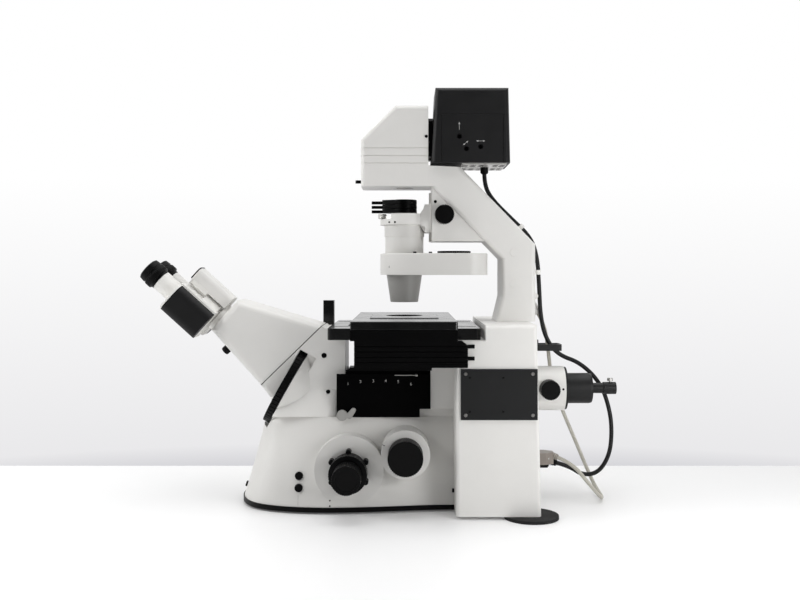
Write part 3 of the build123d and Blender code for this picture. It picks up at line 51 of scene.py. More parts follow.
# Places are given in millimetres from the optical axis and become metres in the shared frame.
axis_x = 41.223
x_way = Vector((1, 0, 0))
y_way = Vector((0, 1, 0))
z_way = Vector((0, 0, 1))
front_way = Vector((0, -1, 0))
down_way = Vector((0, 0, -1))
head_way = Vector((-0.74175, 0.0, 0.67068))
head_across = Vector((0.67068, 0.0, 0.74175))

# Sizes that all coatings share: radius of worn edges in metres, and scales of their patterns.
edge_radius = 0.0006
tone_scale = 14.0
smudge_scale = 34.0
patch_scale = 160.0


def at(x, y, z):
    return Vector(((x + axis_x) / 1000, y / 1000, z / 1000))


def placed(name, data):
    piece = bpy.data.objects.new(name, data)
    bpy.context.scene.collection.objects.link(piece)
    return piece


def new_material(name):
    material = bpy.data.materials.new(name)
    material.use_nodes = True
    tree = material.node_tree
    return material, tree, tree.nodes["Principled BSDF"]


def add(tree, kind, **values):
    """Adds a shader node and sets its inputs, or else its properties, by name."""
    node = tree.nodes.new(kind)
    for key, value in values.items():
        if key in node.inputs:
            node.inputs[key].default_value = value
        else:
            setattr(node, key, value)
    return node


def place_coordinates(tree, stretch=(1, 1, 1)):
    coordinates = add(tree, "ShaderNodeTexCoord")
    mapping = add(tree, "ShaderNodeMapping", Scale=stretch)
    tree.links.new(coordinates.outputs["Object"], mapping.inputs["Vector"])
    return mapping.outputs["Vector"]


def noise(tree, vector, scale, detail=3.0, rough=0.55):
    node = add(tree, "ShaderNodeTexNoise", Scale=scale, Detail=detail, Roughness=rough)
    tree.links.new(vector, node.inputs["Vector"])
    return node.outputs["Fac"]


def ranged(tree, value, low, high, from_low=0.3, from_high=0.7):
    """Maps a value from one range onto another."""
    limits = {"From Min": from_low, "From Max": from_high, "To Min": low, "To Max": high}
    node = add(tree, "ShaderNodeMapRange", **limits)
    tree.links.new(value, node.inputs["Value"])
    return node.outputs["Result"]


def mixed(tree, factor, first, second):
    """Blends two colours, each a plain value or the output of a node."""
    node = add(tree, "ShaderNodeMix", data_type="RGBA")
    first_color = node.inputs[6]
    second_color = node.inputs[7]
    for socket, value in ((first_color, first), (second_color, second)):
        if isinstance(value, tuple):
            socket.default_value = value
        else:
            tree.links.new(value, socket)
    tree.links.new(factor, node.inputs[0])
    return node.outputs[2]


def graded(tree, value, first, second, from_low=0.3, from_high=0.7):
    """Blends two colours as a value rises through a range."""
    return mixed(tree, ranged(tree, value, 0.0, 1.0, from_low, from_high), first, second)


def combined(tree, operation, first, second):
    node = add(tree, "ShaderNodeMath", operation=operation)
    tree.links.new(first, node.inputs[0])
    tree.links.new(second, node.inputs[1])
    return node.outputs["Value"]


def mixed_shader(tree, factor, first, second):
    node = add(tree, "ShaderNodeMixShader")
    tree.links.new(factor, node.inputs["Fac"])
    tree.links.new(first, node.inputs[1])
    tree.links.new(second, node.inputs[2])
    return node.outputs["Shader"]


def edge_mask(tree, strength):
    """Gives a mask that is strong along edges, and the normal that rounds them."""
    bevel = add(tree, "ShaderNodeBevel", samples=4, Radius=edge_radius)
    geometry = add(tree, "ShaderNodeNewGeometry")
    dot = add(tree, "ShaderNodeVectorMath", operation="DOT_PRODUCT")
    tree.links.new(bevel.outputs["Normal"], dot.inputs[0])
    tree.links.new(geometry.outputs["Normal"], dot.inputs[1])
    mask = ranged(tree, dot.outputs["Value"], strength, 0.0, from_low=0.75, from_high=0.99)
    return mask, bevel.outputs["Normal"]


def tinted(color, factor):
    return tuple(min(1.0, channel * factor) for channel in color) + (1.0,)


def coating(name, color, rough, grain, depth, tone, spread=0.06, metallic=0.0, specular=0.5,
            wear=None, wear_amount=0.35, stretch=(1, 1, 1)):
    """Makes a finish with a fine grain, drifting tone and roughness, and rubbed edges."""
    material, tree, shader = new_material(name)
    vector = place_coordinates(tree, stretch)
    broad = noise(tree, vector, tone_scale, 4.0)
    fine = noise(tree, vector, 1.0 / grain, 2.0)
    smudges = noise(tree, vector, smudge_scale, 5.0, 0.65)
    shade = graded(tree, broad, tinted(color, 1 - tone), tinted(color, 1 + tone))
    mask, rounded = edge_mask(tree, wear_amount)
    if wear is not None:
        patches = ranged(tree, noise(tree, vector, patch_scale, 5.0, 0.7), 0.0, 1.0, 0.45, 0.7)
        rubbed = combined(tree, "MULTIPLY", mask, patches)
        shade = mixed(tree, rubbed, shade, tinted(wear, 1.0))
    bump = add(tree, "ShaderNodeBump", Strength=0.6, Distance=depth)
    tree.links.new(fine, bump.inputs["Height"])
    tree.links.new(rounded, bump.inputs["Normal"])
    tree.links.new(shade, shader.inputs["Base Color"])
    tree.links.new(ranged(tree, smudges, rough - spread, rough + spread), shader.inputs["Roughness"])
    tree.links.new(bump.outputs["Normal"], shader.inputs["Normal"])
    shader.inputs["Metallic"].default_value = metallic
    shader.inputs["Specular IOR Level"].default_value = specular
    return material


def glass(name, color):
    """Makes the finish of a coated lens: dark, smooth and faintly coloured."""
    material, tree, shader = new_material(name)
    vector = place_coordinates(tree)
    dust = noise(tree, vector, 900.0)
    tree.links.new(ranged(tree, dust, 0.03, 0.09, 0.5, 0.75), shader.inputs["Roughness"])
    shade = graded(tree, noise(tree, vector, 60.0), tinted(color, 0.7), tinted(color, 1.2))
    tree.links.new(shade, shader.inputs["Base Color"])
    shader.inputs["IOR"].default_value = 1.6
    shader.inputs["Coat Weight"].default_value = 0.6
    return material


def two_tone(material, inner, half_width, blur=0.0002):
    """Gives a finish another colour nearer to the middle plane than a half width in metres."""
    tree = material.node_tree
    base_color = tree.nodes["Principled BSDF"].inputs["Base Color"]
    outer = base_color.links[0].from_socket
    coordinates = add(tree, "ShaderNodeTexCoord")
    split = add(tree, "ShaderNodeSeparateXYZ")
    tree.links.new(coordinates.outputs["Object"], split.inputs["Vector"])
    away = add(tree, "ShaderNodeMath", operation="ABSOLUTE")
    tree.links.new(split.outputs["Y"], away.inputs[0])
    shade = graded(tree, away.outputs["Value"], inner, outer, half_width - blur, half_width + blur)
    tree.links.new(shade, base_color)


# Finishes: grain is the size and depth the height of the fine grain, both in metres.
finishes = {
    "white_paint": dict(color=(0.80, 0.79, 0.765), rough=0.42, grain=0.0011, depth=0.00006,
                        tone=0.018, wear=(0.60, 0.58, 0.54), wear_amount=0.25),
    # A darker copy of the white paint: painted shade, used for the base and the condenser body.
    "shaded_white_paint": dict(color=(0.74, 0.73, 0.705), rough=0.42, grain=0.0011, depth=0.00006,
                             tone=0.018, wear=(0.55, 0.53, 0.50), wear_amount=0.25),
    "white_plastic": dict(color=(0.85, 0.84, 0.81), rough=0.34, grain=0.0016, depth=0.00003,
                          tone=0.015),
    "black_paint": dict(color=(0.0105, 0.0105, 0.011), rough=0.46, grain=0.0009, depth=0.00008,
                        tone=0.12, specular=0.28, wear=(0.07, 0.07, 0.07)),
    "black_plastic": dict(color=(0.0018, 0.0018, 0.0019), rough=0.42, grain=0.0008, depth=0.00008,
                          tone=0.12, specular=0.12, wear=(0.04, 0.04, 0.04)),
    "dark_cover": dict(color=(0.0085, 0.0088, 0.0092), rough=0.52, grain=0.0010, depth=0.00012,
                       tone=0.10, specular=0.26, wear=(0.1, 0.1, 0.1)),
    "black_anodised": dict(color=(0.0012, 0.0012, 0.0013), rough=0.34, grain=0.0007, depth=0.00004,
                           tone=0.14, specular=0.08, wear=(0.06, 0.06, 0.06)),
    "grey_plastic": dict(color=(0.36, 0.355, 0.34), rough=0.42, grain=0.0012, depth=0.00005,
                         tone=0.03),
    "pale_plastic": dict(color=(0.50, 0.47, 0.42), rough=0.45, grain=0.0012, depth=0.00005,
                         tone=0.04),
    "steel": dict(color=(0.60, 0.59, 0.57), rough=0.28, grain=0.0004, depth=0.00002,
                  tone=0.06, metallic=1.0, stretch=(1, 1, 6)),
    "foot_rubber": dict(color=(0.014, 0.014, 0.014), rough=0.75, grain=0.0009, depth=0.0001,
                        tone=0.15, specular=0.25),
    "cable_black": dict(color=(0.006, 0.006, 0.0065), rough=0.45, grain=0.0012, depth=0.00005,
                        tone=0.12, specular=0.3),
    "cable_grey": dict(color=(0.52, 0.50, 0.44), rough=0.48, grain=0.0012, depth=0.00005,
                       tone=0.05),
    "stage_black": dict(color=(0.0009, 0.0009, 0.0010), rough=0.20, grain=0.0006, depth=0.00002,
                        tone=0.12, spread=0.04, wear=(0.2, 0.2, 0.2), wear_amount=0.5),
    "print_white": dict(color=(0.50, 0.50, 0.49), rough=0.6, grain=0.0009, depth=0.00001,
                        tone=0.05),
    "print_dark": dict(color=(0.03, 0.03, 0.032), rough=0.55, grain=0.0009, depth=0.00001,
                       tone=0.08),
    "black_matte": dict(color=(0.0014, 0.0014, 0.0015), rough=0.85, grain=0.0009, depth=0.00006,
                        tone=0.12, specular=0.04),
    "dark_steel": dict(color=(0.30, 0.29, 0.28), rough=0.34, grain=0.0004, depth=0.00002,
                       tone=0.08, metallic=1.0),
    "vent_metal": dict(color=(0.78, 0.77, 0.74), rough=0.36, grain=0.0008, depth=0.00004,
                       tone=0.08, metallic=0.7),
    "hood_metal": dict(color=(0.30, 0.265, 0.235), rough=0.42, grain=0.0008, depth=0.00006,
                       tone=0.12, metallic=0.35),
    "prism_cover": dict(color=(0.010, 0.010, 0.0105), rough=0.48, grain=0.0009, depth=0.00009,
                        tone=0.12, specular=0.2),
}
ring_colors = {
    "ring_red": (0.45, 0.03, 0.025), "ring_yellow": (0.62, 0.46, 0.04),
    "ring_green": (0.04, 0.30, 0.08), "ring_blue": (0.03, 0.13, 0.45),
}
for name, color in ring_colors.items():
    finishes[name] = dict(color=color, rough=0.35, grain=0.0009, depth=0.00001, tone=0.05)
materials = {name: coating(name, **values) for name, values in finishes.items()}
materials["lens"] = glass("lens", (0.035, 0.028, 0.05))
two_tone(materials["prism_cover"], (0.74, 0.73, 0.70, 1.0), 0.050)

# Nodes whose finish differs from the one named like their slot.
look_of = {
    "stage_plate": "stage_black", "stage_insert": "stage_black", "stage_base": "stage_black",
    "stage_carriage": "stage_black", "reflector_module": "black_matte", "base_plate": "black_plastic",
    "cover_screws": "dark_steel", "grey_plug": "hood_metal", "prism_box_near": "prism_cover",
    # The base and the condenser body take the darker copy of the white paint as painted shade.
    "prism_box_far": "prism_cover", "lamp_grille": "vent_metal", "front_base": "shaded_white_paint",
    "condenser_body": "shaded_white_paint",
}
slot_of = {row["node"]: row["material_slot"] for row in frame["record"]["subparts"]}
body_of = {node: body for body, names in frame["record"]["behaviour"]["bodies"].items() for node in names}
for name, piece in nodes.items():
    piece.data.materials.clear()
    piece.data.materials.append(materials[look_of.get(name, slot_of[name])])

# Cables: the points that guide each one from its fixed end to its plug. Lengths and radii in metres.
lamp_route = [
    (140, 0, 569), (140, 0, 547), (153, 0, 522), (187, 0, 488), (221, 0, 456), (233, 0, 420),
    (236, 0, 367), (238, -2, 318), (246, -6, 280), (268, -2, 250), (312, 18, 234), (350, 27, 196),
    (365, 22, 148), (366, 12, 108), (361, 12, 70), (342, 13, 40), (314, 14, 36), (291, 14, 52),
    (268, 14, 58),
]
grey_route = [
    (235, 8, 322), (246, 8, 302), (251, 8, 274), (255, 14, 247), (262, 43, 217), (271, 51, 181),
    (287, 49, 140), (307, 44, 92), (325, 34, 46), (338, 18, 14), (344, -10, 3.8), (336, -40, 9),
    (313, -42, 36), (290, -24, 64), (266, -14, 73),
]
lamp_cable_radius = 0.00375
grey_cable_radius = 0.00325


def route_curve(name, route, radius):
    curve = bpy.data.curves.new(name, "CURVE")
    curve.dimensions = "3D"
    curve.resolution_u = 10
    curve.bevel_depth = radius
    curve.bevel_resolution = 5
    curve.use_fill_caps = True
    spline = curve.splines.new("NURBS")
    spline.points.add(len(route) - 1)
    for point, place in zip(spline.points, route):
        point.co = (*at(*place), 1.0)
    spline.order_u = 3
    spline.use_endpoint_u = True
    return placed(name, curve)


def meshed(piece):
    bpy.context.view_layer.update()
    return bpy.data.meshes.new_from_object(piece.evaluated_get(bpy.context.evaluated_depsgraph_get()))


def route_line(name, route):
    line = route_curve(name + "_line", route, 0.0)
    mesh = meshed(line)
    points = [tuple(vertex.co) for vertex in mesh.vertices]
    bpy.data.objects.remove(line)
    bpy.data.meshes.remove(mesh)
    return points


lamp_curve = route_curve("lamp_cord_curve", lamp_route, lamp_cable_radius)
lamp_cord = placed("lamp_cord", meshed(lamp_curve))
bpy.data.objects.remove(lamp_curve)
lamp_cord.data.materials.append(materials["cable_black"])
lamp_cord.data.polygons.foreach_set("use_smooth", [True] * len(lamp_cord.data.polygons))
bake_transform(lamp_cord)
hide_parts("lamp_cable")
route_line("lamp_cord", lamp_route)

grey_cord = route_curve("grey_cord", grey_route, grey_cable_radius)
grey_cord.data.materials.append(materials["cable_grey"])
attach(grey_cord, "stand")
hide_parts("grey_cable")

# Detail pieces: each sits on the CAD node named for it and moves with that node's body.
on_axis = at(0, 0, 0)
sharp_angle = 32.0
rib_angle = 50.0


def finished(name, mesh, key, node, smooth_below=sharp_angle):
    piece = placed(name, mesh)
    mesh.materials.append(materials[key])
    mesh.polygons.foreach_set("use_smooth", [True] * len(mesh.polygons))
    mesh.set_sharp_from_angle(angle=math.radians(smooth_below))
    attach(piece, body_of[node])


def made(name, form, key, node, smooth_below=sharp_angle):
    mesh = bpy.data.meshes.new(name)
    bmesh.ops.remove_doubles(form, verts=form.verts, dist=1e-6)
    bmesh.ops.recalc_face_normals(form, faces=form.faces)
    form.to_mesh(mesh)
    form.free()
    finished(name, mesh, key, node, smooth_below)


def turned_form(form, profile, origin, along, segments, ribs=0, rib_depth=0.0):
    """Adds a form turned from radius and height pairs in millimetres about a line."""
    turn = z_way.rotation_difference(along).to_matrix()
    rings = []
    for radius, height in profile:
        if radius < 1e-6:
            rings.append([form.verts.new(origin + turn @ Vector((0, 0, height / 1000)))])
            continue
        ring = []
        for index in range(segments):
            angle = 2 * math.pi * index / segments
            low_rib = ribs and (index * ribs * 2 // segments) % 2
            reach = radius - (rib_depth if low_rib else 0.0)
            local = Vector((reach * math.cos(angle), reach * math.sin(angle), height)) / 1000
            ring.append(form.verts.new(origin + turn @ local))
        rings.append(ring)
    for low, high in zip(rings, rings[1:]):
        for index in range(segments):
            after = (index + 1) % segments
            corners = [low[index % len(low)], low[after % len(low)]]
            corners += [high[after % len(high)], high[index % len(high)]]
            unique = list(dict.fromkeys(corners))
            if len(unique) > 2:
                form.faces.new(unique)


def turned_piece(name, profile, origin, along, key, node, segments=48):
    form = bmesh.new()
    turned_form(form, profile, origin, along, segments)
    made(name, form, key, node)


def ribbed_ring(form, origin, along, radius, low, high, ribs):
    """Adds a closed ring of fine ribs around a turned grip."""
    inner = radius - 0.6
    outer = radius + 0.4
    profile = [(inner, low), (radius, low + 0.3), (outer, low + 0.7), (outer, high - 0.7),
               (radius, high - 0.3), (inner, high)]
    turned_form(form, profile, origin, along, 4 * ribs, ribs, 0.45)


def screw_form(form, place, along, radius, height, socket):
    """Adds a cap screw head with a recessed socket, whose width is a share of the head's."""
    bore = radius * socket
    profile = [(0, -0.4), (radius * 0.97, -0.4), (radius, 0), (radius, height * 0.75),
               (radius * 0.9, height), (bore, height), (bore, height * 0.35), (0, height * 0.3)]
    turned_form(form, profile, place, along, segments=24)


def flat_form(form, outline, place, right, up, low=0.0, high=0.06):
    """Adds a plate from outline points and two heights in millimetres, measured from a place."""
    out = right.cross(up)
    lower = [form.verts.new(place + (right * x + up * z + out * low) / 1000) for x, z in outline]
    upper = [form.verts.new(place + (right * x + up * z + out * high) / 1000) for x, z in outline]
    form.faces.new(upper)
    form.faces.new(list(reversed(lower)))
    for index in range(len(outline)):
        after = (index + 1) % len(outline)
        form.faces.new((lower[index], lower[after], upper[after], upper[index]))


def flat_piece(name, outline, place, right, up, low, high, key, node):
    form = bmesh.new()
    flat_form(form, outline, place, right, up, low, high)
    made(name, form, key, node)


def rectangle(left, bottom, right, top):
    return [(left, bottom), (right, bottom), (right, top), (left, top)]


def bar_outline(x0, z0, x1, z1, width):
    """Gives the four corners of a straight stroke."""
    way = Vector((x1 - x0, z1 - z0)).normalized()
    side = Vector((-way.y, way.x)) * width / 2
    corners = [(x0, z0, 1), (x1, z1, 1), (x1, z1, -1), (x0, z0, -1)]
    return [(x - sign * side.x, z - sign * side.y) for x, z, sign in corners]


def arrow_forms(form, place, x0, z0, x1, z1, both_ends):
    """Adds a thin arrow that lies on a face looking towards -Y."""
    stroke_width = 0.7
    barb_length = 3.2
    barb_reach = 1.5
    overshoot = 0.6
    way = Vector((x1 - x0, z1 - z0)).normalized()
    across = Vector((-way.y, way.x)) * barb_reach
    flat_form(form, bar_outline(x0, z0, x1, z1, stroke_width), place, x_way, z_way)
    ends = [(Vector((x1, z1)), way)]
    if both_ends:
        ends.append((Vector((x0, z0)), -way))
    for end, out in ends:
        back = end - out * barb_length
        points = [end + out * overshoot, back + across, back - across]
        if (points[1] - points[0]).cross(points[2] - points[0]) < 0:
            points.reverse()
        flat_form(form, [tuple(point) for point in points], place, x_way, z_way, high=0.08)


def surface(node, x, z, side=-1):
    """Gives the place and the outward way where a line along Y from one side meets a node."""
    outside = side * 400.0
    hit, place, normal = nodes[node].ray_cast(at(x, outside, z), (0.0, -side, 0.0))[:3]
    if not hit:
        raise ValueError(node)
    return place, normal


def upright_form(form, node, x, z, half_width, half_height, low, high):
    """Adds an upright plate on the near side of a node."""
    place, normal = surface(node, x, z)
    right = z_way.cross(normal).normalized()
    outline = rectangle(-half_width, -half_height, half_width, half_height)
    flat_form(form, outline, place, right, z_way, low, high)


bpy.context.view_layer.update()

# Eyepieces: lens and ribbed grip.
eye_spread = 32.0
eyepiece_seat = 0.121
eye_lens = [(0, 26.2), (5, 25.9), (9, 25.3), (11.8, 24.6), (11.8, 24.4), (0, 24.4)]
for node, side in (("eyepiece_near", -1), ("eyepiece_far", 1)):
    foot = at(-327.3704, side * eye_spread, 299.2976) + head_way * eyepiece_seat
    turned_piece(node + "_lens", eye_lens, foot, head_way, "lens", node)
    form = bmesh.new()
    ribbed_ring(form, foot, head_way, radius=21.5, low=6.0, high=16.0, ribs=44)
    made(node + "_grip", form, "black_plastic", node, rib_angle)

# Binocular: dark front plate and slot covers on the centre block, and a black sheet in the gap of the tube
# joint that paints the shade there.
center_origin = at(-307.25, 0.0, 321.55)
front_outline = [
    (-21.5, 6.0), (21.5, 6.0), (21.5, 22.0), (19.0, 27.0), (14.0, 29.4), (-14.0, 29.4), (-19.0, 27.0),
    (-21.5, 22.0),
]
flat_piece("binocular_front_plate", front_outline, center_origin, front_way, head_across,
           low=85.9, high=88.2, key="black_plastic", node="binocular_center")
form = bmesh.new()
for low_edge, inner, outer in ((-0.5, -22.25, -22.0), (4.2, 22.0, 22.25)):
    slot_cover = rectangle(48.5, low_edge, 82.0, 8.0)
    flat_form(form, slot_cover, center_origin, head_way, head_across, inner, outer)
made("binocular_slot_covers", form, "white_plastic", "binocular_center")
parting_top = at(-139.6, 0.0, 302.5)
parting_bottom = at(-244.0, 0.0, 201.0)
parting_way = (parting_bottom - parting_top).normalized()
parting_end = (parting_bottom - parting_top).length * 1000 - 2.0
joint_shade_outline = [
    (14.0, -49.9), (2.0, -40.0), (2.0, 40.0), (14.0, 49.9), (parting_end, 49.9), (parting_end, -49.9),
]
flat_piece("tube_joint_shade_sheet", joint_shade_outline, parting_top, parting_way, y_way,
           low=-1.3, high=-0.1, key="black_plastic", node="tube_housing")

# Objectives: coloured rings and front lenses.
lean_angle = math.radians(10.0)
lean = Vector((-math.sin(lean_angle), 0.0, math.cos(lean_angle)))
nosepiece_center = at(0.0, 0.0, 75.0)
objective_seat = 0.190
longest = 27.0
shortening = 0.06
objective_ring = [(13.4, 9.6), (14.12, 9.6), (14.12, 11.4), (13.4, 11.4)]
ring_keys = ("ring_red", "ring_yellow", "ring_green", "ring_blue", "print_white", "ring_red")
for index, key in enumerate(ring_keys):
    way = Matrix.Rotation(math.radians(60.0 * index), 3, lean) @ z_way
    seat = nosepiece_center + way * objective_seat
    length = longest * (1 - shortening * index)
    front_lens = [(0, length - 0.2), (5.0, length - 0.2), (5.0, length + 0.05), (3.4, length + 0.5),
                  (0, length + 0.8)]
    turned_piece("objective_ring_%d" % (index + 1), objective_ring, seat, way, key, "objectives")
    turned_piece("objective_lens_%d" % (index + 1), front_lens, seat, way, "lens", "objectives")

# Field lens under the head, and the front and top lenses of the condenser.
for name, node, profile in (
    ("field_lens", "illuminator_head",
     [(0, 547.5), (9, 548.2), (16.4, 550.5), (16.4, 552.0), (0, 552.0)]),
    ("condenser_front_lens", "condenser_cone",
     [(0, 344.2), (10, 344.6), (17.9, 346.2), (17.9, 348.0), (0, 348.0)]),
    ("condenser_top_lens", "condenser_body",
     [(0, 484.2), (12, 483.6), (21.9, 481.8), (21.9, 480.0), (0, 480.0)]),
):
    turned_piece(name, profile, on_axis, z_way, "lens", node)

# Filter holders: a retaining ring, a glass and a thick root in each.
lowest_filter = 502.2
filter_step = 7.8
filter_ring = [(16.2, -0.5), (21.8, -0.5), (21.8, 2.0), (21.4, 2.4), (16.6, 2.4), (16.2, 2.0), (16.2, -0.5)]
filter_glass = [(0, -3.0), (15.9, -3.0), (15.9, -1.0), (0, -1.0)]
filter_root = [(-38.5, -4.0), (-30.0, -8.5), (-18.0, -14.0), (-18.0, 14.0), (-30.0, 8.5), (-38.5, 4.0)]
for index in range(3):
    node = "filter_holder_%d" % (index + 1)
    top = at(0, 0, lowest_filter + filter_step * index)
    turned_piece(node + "_ring", filter_ring, top, z_way, "black_anodised", node, segments=64)
    turned_piece(node + "_glass", filter_glass, top, z_way, "lens", node)
    flat_piece(node + "_root", filter_root, top, x_way, y_way, low=-0.3, high=2.3,
               key="black_anodised", node=node)

# Carrier: near wall round the aperture ring, and the plate that braces the ring against the slide.
wall_start = 238.0
wall_step = 4.0
wall_outer = 42.0
wall_inner = 40.0
arc = [math.radians(wall_start + wall_step * index) for index in range(24)]
wall_outline = [(wall_outer * math.cos(angle), wall_outer * math.sin(angle)) for angle in arc]
wall_outline += [(wall_inner * math.cos(angle), wall_inner * math.sin(angle)) for angle in reversed(arc)]
flat_piece("carrier_wall", wall_outline, on_axis, x_way, y_way, low=485.7, high=495.0,
           key="white_paint", node="condenser_slide")
brace = [
    (25.0, 478.0), (36.0, 471.0), (46.5, 466.0), (46.5, 513.0), (36.0, 508.0), (27.0, 495.0), (25.0, 486.0),
]
flat_piece("carrier_brace", brace, on_axis, x_way, z_way, low=29.0, high=32.0,
           key="white_paint", node="condenser_slide")

# Numbers of the six positions on the module's face, and the lip and the filter pin above them.
module_face = -75.03
digit_size = 0.0070
digit_depth = 0.00004
upright = Matrix.Rotation(math.radians(90.0), 4, "X")
number_places = (
    (-93.8, 208.0), (-73.1, 211.3), (-51.6, 212.4), (-30.7, 212.8), (-10.0, 211.3), (11.5, 207.3),
)
for number, (x, z) in enumerate(number_places, 1):
    curve = bpy.data.curves.new("number", "FONT")
    curve.body = str(number)
    curve.size = digit_size
    curve.extrude = digit_depth
    curve.align_x = "CENTER"
    curve.align_y = "CENTER"
    text = placed("number", curve)
    mesh = meshed(text)
    bpy.data.objects.remove(text)
    mesh.transform(Matrix.Translation(at(x, module_face, z)) @ upright)
    finished("position_number_%d" % number, mesh, "print_white", "reflector_module")
flat_piece("module_lip", rectangle(-98.0, 223.5, 44.0, 230.0), at(0, -68.0, 0), x_way, z_way,
           low=-1.5, high=0.5, key="black_matte", node="reflector_module")
pin = [(0, -16), (0.8, -15.6), (0.8, 18), (1.5, 18.4), (2.1, 20), (2.1, 21.4), (1.5, 22.8), (0, 23.2)]
turned_piece("filter_pin", pin, at(0, -76.0, 222.3), x_way, "steel", "reflector_module", segments=24)

# Screws in the housings: height of the head, share of its socket, then place and radius of each.
both_sides = (-1, 1)
near_side = (-1,)
cover_places = [(x, z, 1.7) for x in (104.4, 157.5) for z in (227.0, 173.0)]
for name, node, sides, height, socket, screws in (
    # The nose's screws are large black heads that also paint the shade of the recesses they sit in.
    ("nose_screws", "nose", both_sides, 0.8, 0.55, [(-136.0, 253.0, 4.4), (-129.0, 191.7, 3.6)]),
    ("cover_inner_screws", "side_covers", both_sides, 0.6, 0.55, cover_places),
    ("gusset_screws", "condenser_gusset", both_sides, 0.7, 0.55, [(53.2, 515.0, 2.6)]),
    ("carrier_screws", "condenser_slide", both_sides, 0.6, 0.55, [(-25.7, 480.0, 1.7), (-15.8, 480.0, 1.7)]),
    ("lamp_clamp_screws", "illuminator_head", both_sides, 2.4, 0.4, [(37.5, 625.5, 2.6)]),
    ("entry_screws", "light_entry", both_sides, 0.6, 0.55, [(272.0, 194.0, 1.9)]),
    ("base_screws", "front_base", near_side, 0.4, 0.55, [(-121.0, 22.0, 1.3), (-121.0, 13.5, 1.3)]),
):
    form = bmesh.new()
    for side in sides:
        for x, z, radius in screws:
            place, normal = surface(node, x, z, side)
            screw_form(form, place, normal, radius, height, socket)
    made(name, form, "black_anodised", node)
form = bmesh.new()
centring_screw = [(0, -0.3), (3.0, -0.3), (3.0, 2.6), (2.4, 3.2), (0.9, 3.2), (0.9, 1.6), (0, 1.6)]
for x, y in ((18.0, -41.0), (45.0, -26.0), (18.0, 41.0)):
    turned_form(form, centring_screw, at(x, y, 426.4), z_way, segments=24)
made("condenser_centring_screws", form, "black_anodised", "condenser_body")

# Index marks of the condenser and of the light-path knob.
form = bmesh.new()
upright_form(form, "condenser_body", -25.6, 403.3, half_width=0.6, half_height=1.7, low=-0.05, high=0.1)
made("condenser_index", form, "print_dark", "condenser_body")
port_place = surface("front_base", -33.0, 114.6)[0]
flat_piece("port_index", bar_outline(-2.2, 1.0, 2.2, -1.0, width=0.9), port_place, x_way, z_way,
           low=-0.05, high=0.1, key="print_dark", node="front_base")

# Adjustment arrows on the lamp's face.
lamp_face = -56.0
form = bmesh.new()
for x0, z0, x1, z1, both_ends in (
    (93.1, 635.0, 93.1, 648.0, False),
    (99.7, 609.4, 108.0, 616.0, True),
    (122.2, 616.2, 136.4, 616.2, True),
):
    arrow_forms(form, at(0.0, lamp_face, 0.0), x0, z0, x1, z1, both_ends)
made("lamp_arrows", form, "print_white", "lamp_housing")

# Collars and sunk heads of the lamp's adjusting screws, its mounting plate and the sleeve of its cable.
form = bmesh.new()
collar = [(3.3, -0.1), (4.3, -0.1), (4.1, 0.15), (3.3, 0.15), (3.3, -0.1)]
sunk_head = [(0, -3.2), (2.9, -3.2), (2.9, -2.8), (0, -2.8)]
for x, z in ((93.4, 624.0), (105.2, 603.3), (129.2, 606.6)):
    for profile in (collar, sunk_head):
        turned_form(form, profile, at(x, lamp_face, z), front_way, segments=32)
made("lamp_adjusters", form, "black_matte", "lamp_housing")
mounting_plate = [
    (-42.0, 597.0), (-37.0, 592.0), (37.0, 592.0), (42.0, 597.0), (42.0, 652.0), (37.0, 657.0),
    (-37.0, 657.0), (-42.0, 652.0),
]
flat_piece("lamp_mounting_plate", mounting_plate, on_axis, y_way, z_way, low=41.3, high=49.0,
           key="black_anodised", node="lamp_housing")
sleeve = [(3.7, 565.5), (5.4, 566.0), (7.0, 568.5), (7.0, 577.2), (3.7, 577.2), (3.7, 565.5)]
turned_piece("lamp_cable_sleeve", sleeve, at(140, 0, 0), z_way, "black_plastic", "lamp_grille", segments=40)

# Ribbed boots where the cables run into their plugs, and the screws of the grey plug's hood.
for name, node, route, radius, key in (
    ("lamp_boot", "lamp_plug", lamp_route, 5.7, "black_plastic"),
    ("grey_boot", "grey_plug", grey_route, 4.9, "pale_plastic"),
):
    start = at(*route[-1])
    way = (at(*route[-2]) - start).normalized()
    inner = radius - 0.4
    outer = radius + 0.5
    form = bmesh.new()
    for index in range(4):
        low = -1.0 - 3.0 * index
        rib = [(inner, low), (outer, low - 0.3), (outer, low - 1.5), (inner, low - 1.8)]
        turned_form(form, rib, start, way, segments=32)
    made(name, form, key, node)
form = bmesh.new()
hood_screw = [(0, 0.2), (2.6, 0.2), (2.6, 5.0), (2.2, 5.5), (0.5, 5.5), (0.5, 4.5), (0, 4.5)]
for y in (-25.0, -3.0):
    turned_form(form, hood_screw, at(244.0, y, 73.0), x_way, segments=24)
made("grey_plug_screws", form, "steel", "grey_plug")

# White clips that hold the lamp cable to the back of the arm.
clip_ring = [(3.8, -4.0), (4.6, -4.0), (4.9, -3.6), (4.9, 3.6), (4.6, 4.0), (3.8, 4.0)]
clip_foot = rectangle(-2.6, -3.4, 2.6, 3.4)
for name, place, way in (
    ("cable_clip_upper", at(204.5, 0.0, 473.5), Vector((0.697, 0.0, -0.717))),
    ("cable_clip_lower", at(233.8, 0.0, 394.0), Vector((0.03, 0.0, -1.0)).normalized()),
):
    towards_arm = Vector((way.z, 0.0, -way.x))
    form = bmesh.new()
    turned_form(form, clip_ring, place, way, segments=32)
    flat_form(form, clip_foot, place, way.cross(towards_arm), way, low=4.2, high=7.6)
    made(name, form, "white_plastic", "arm")
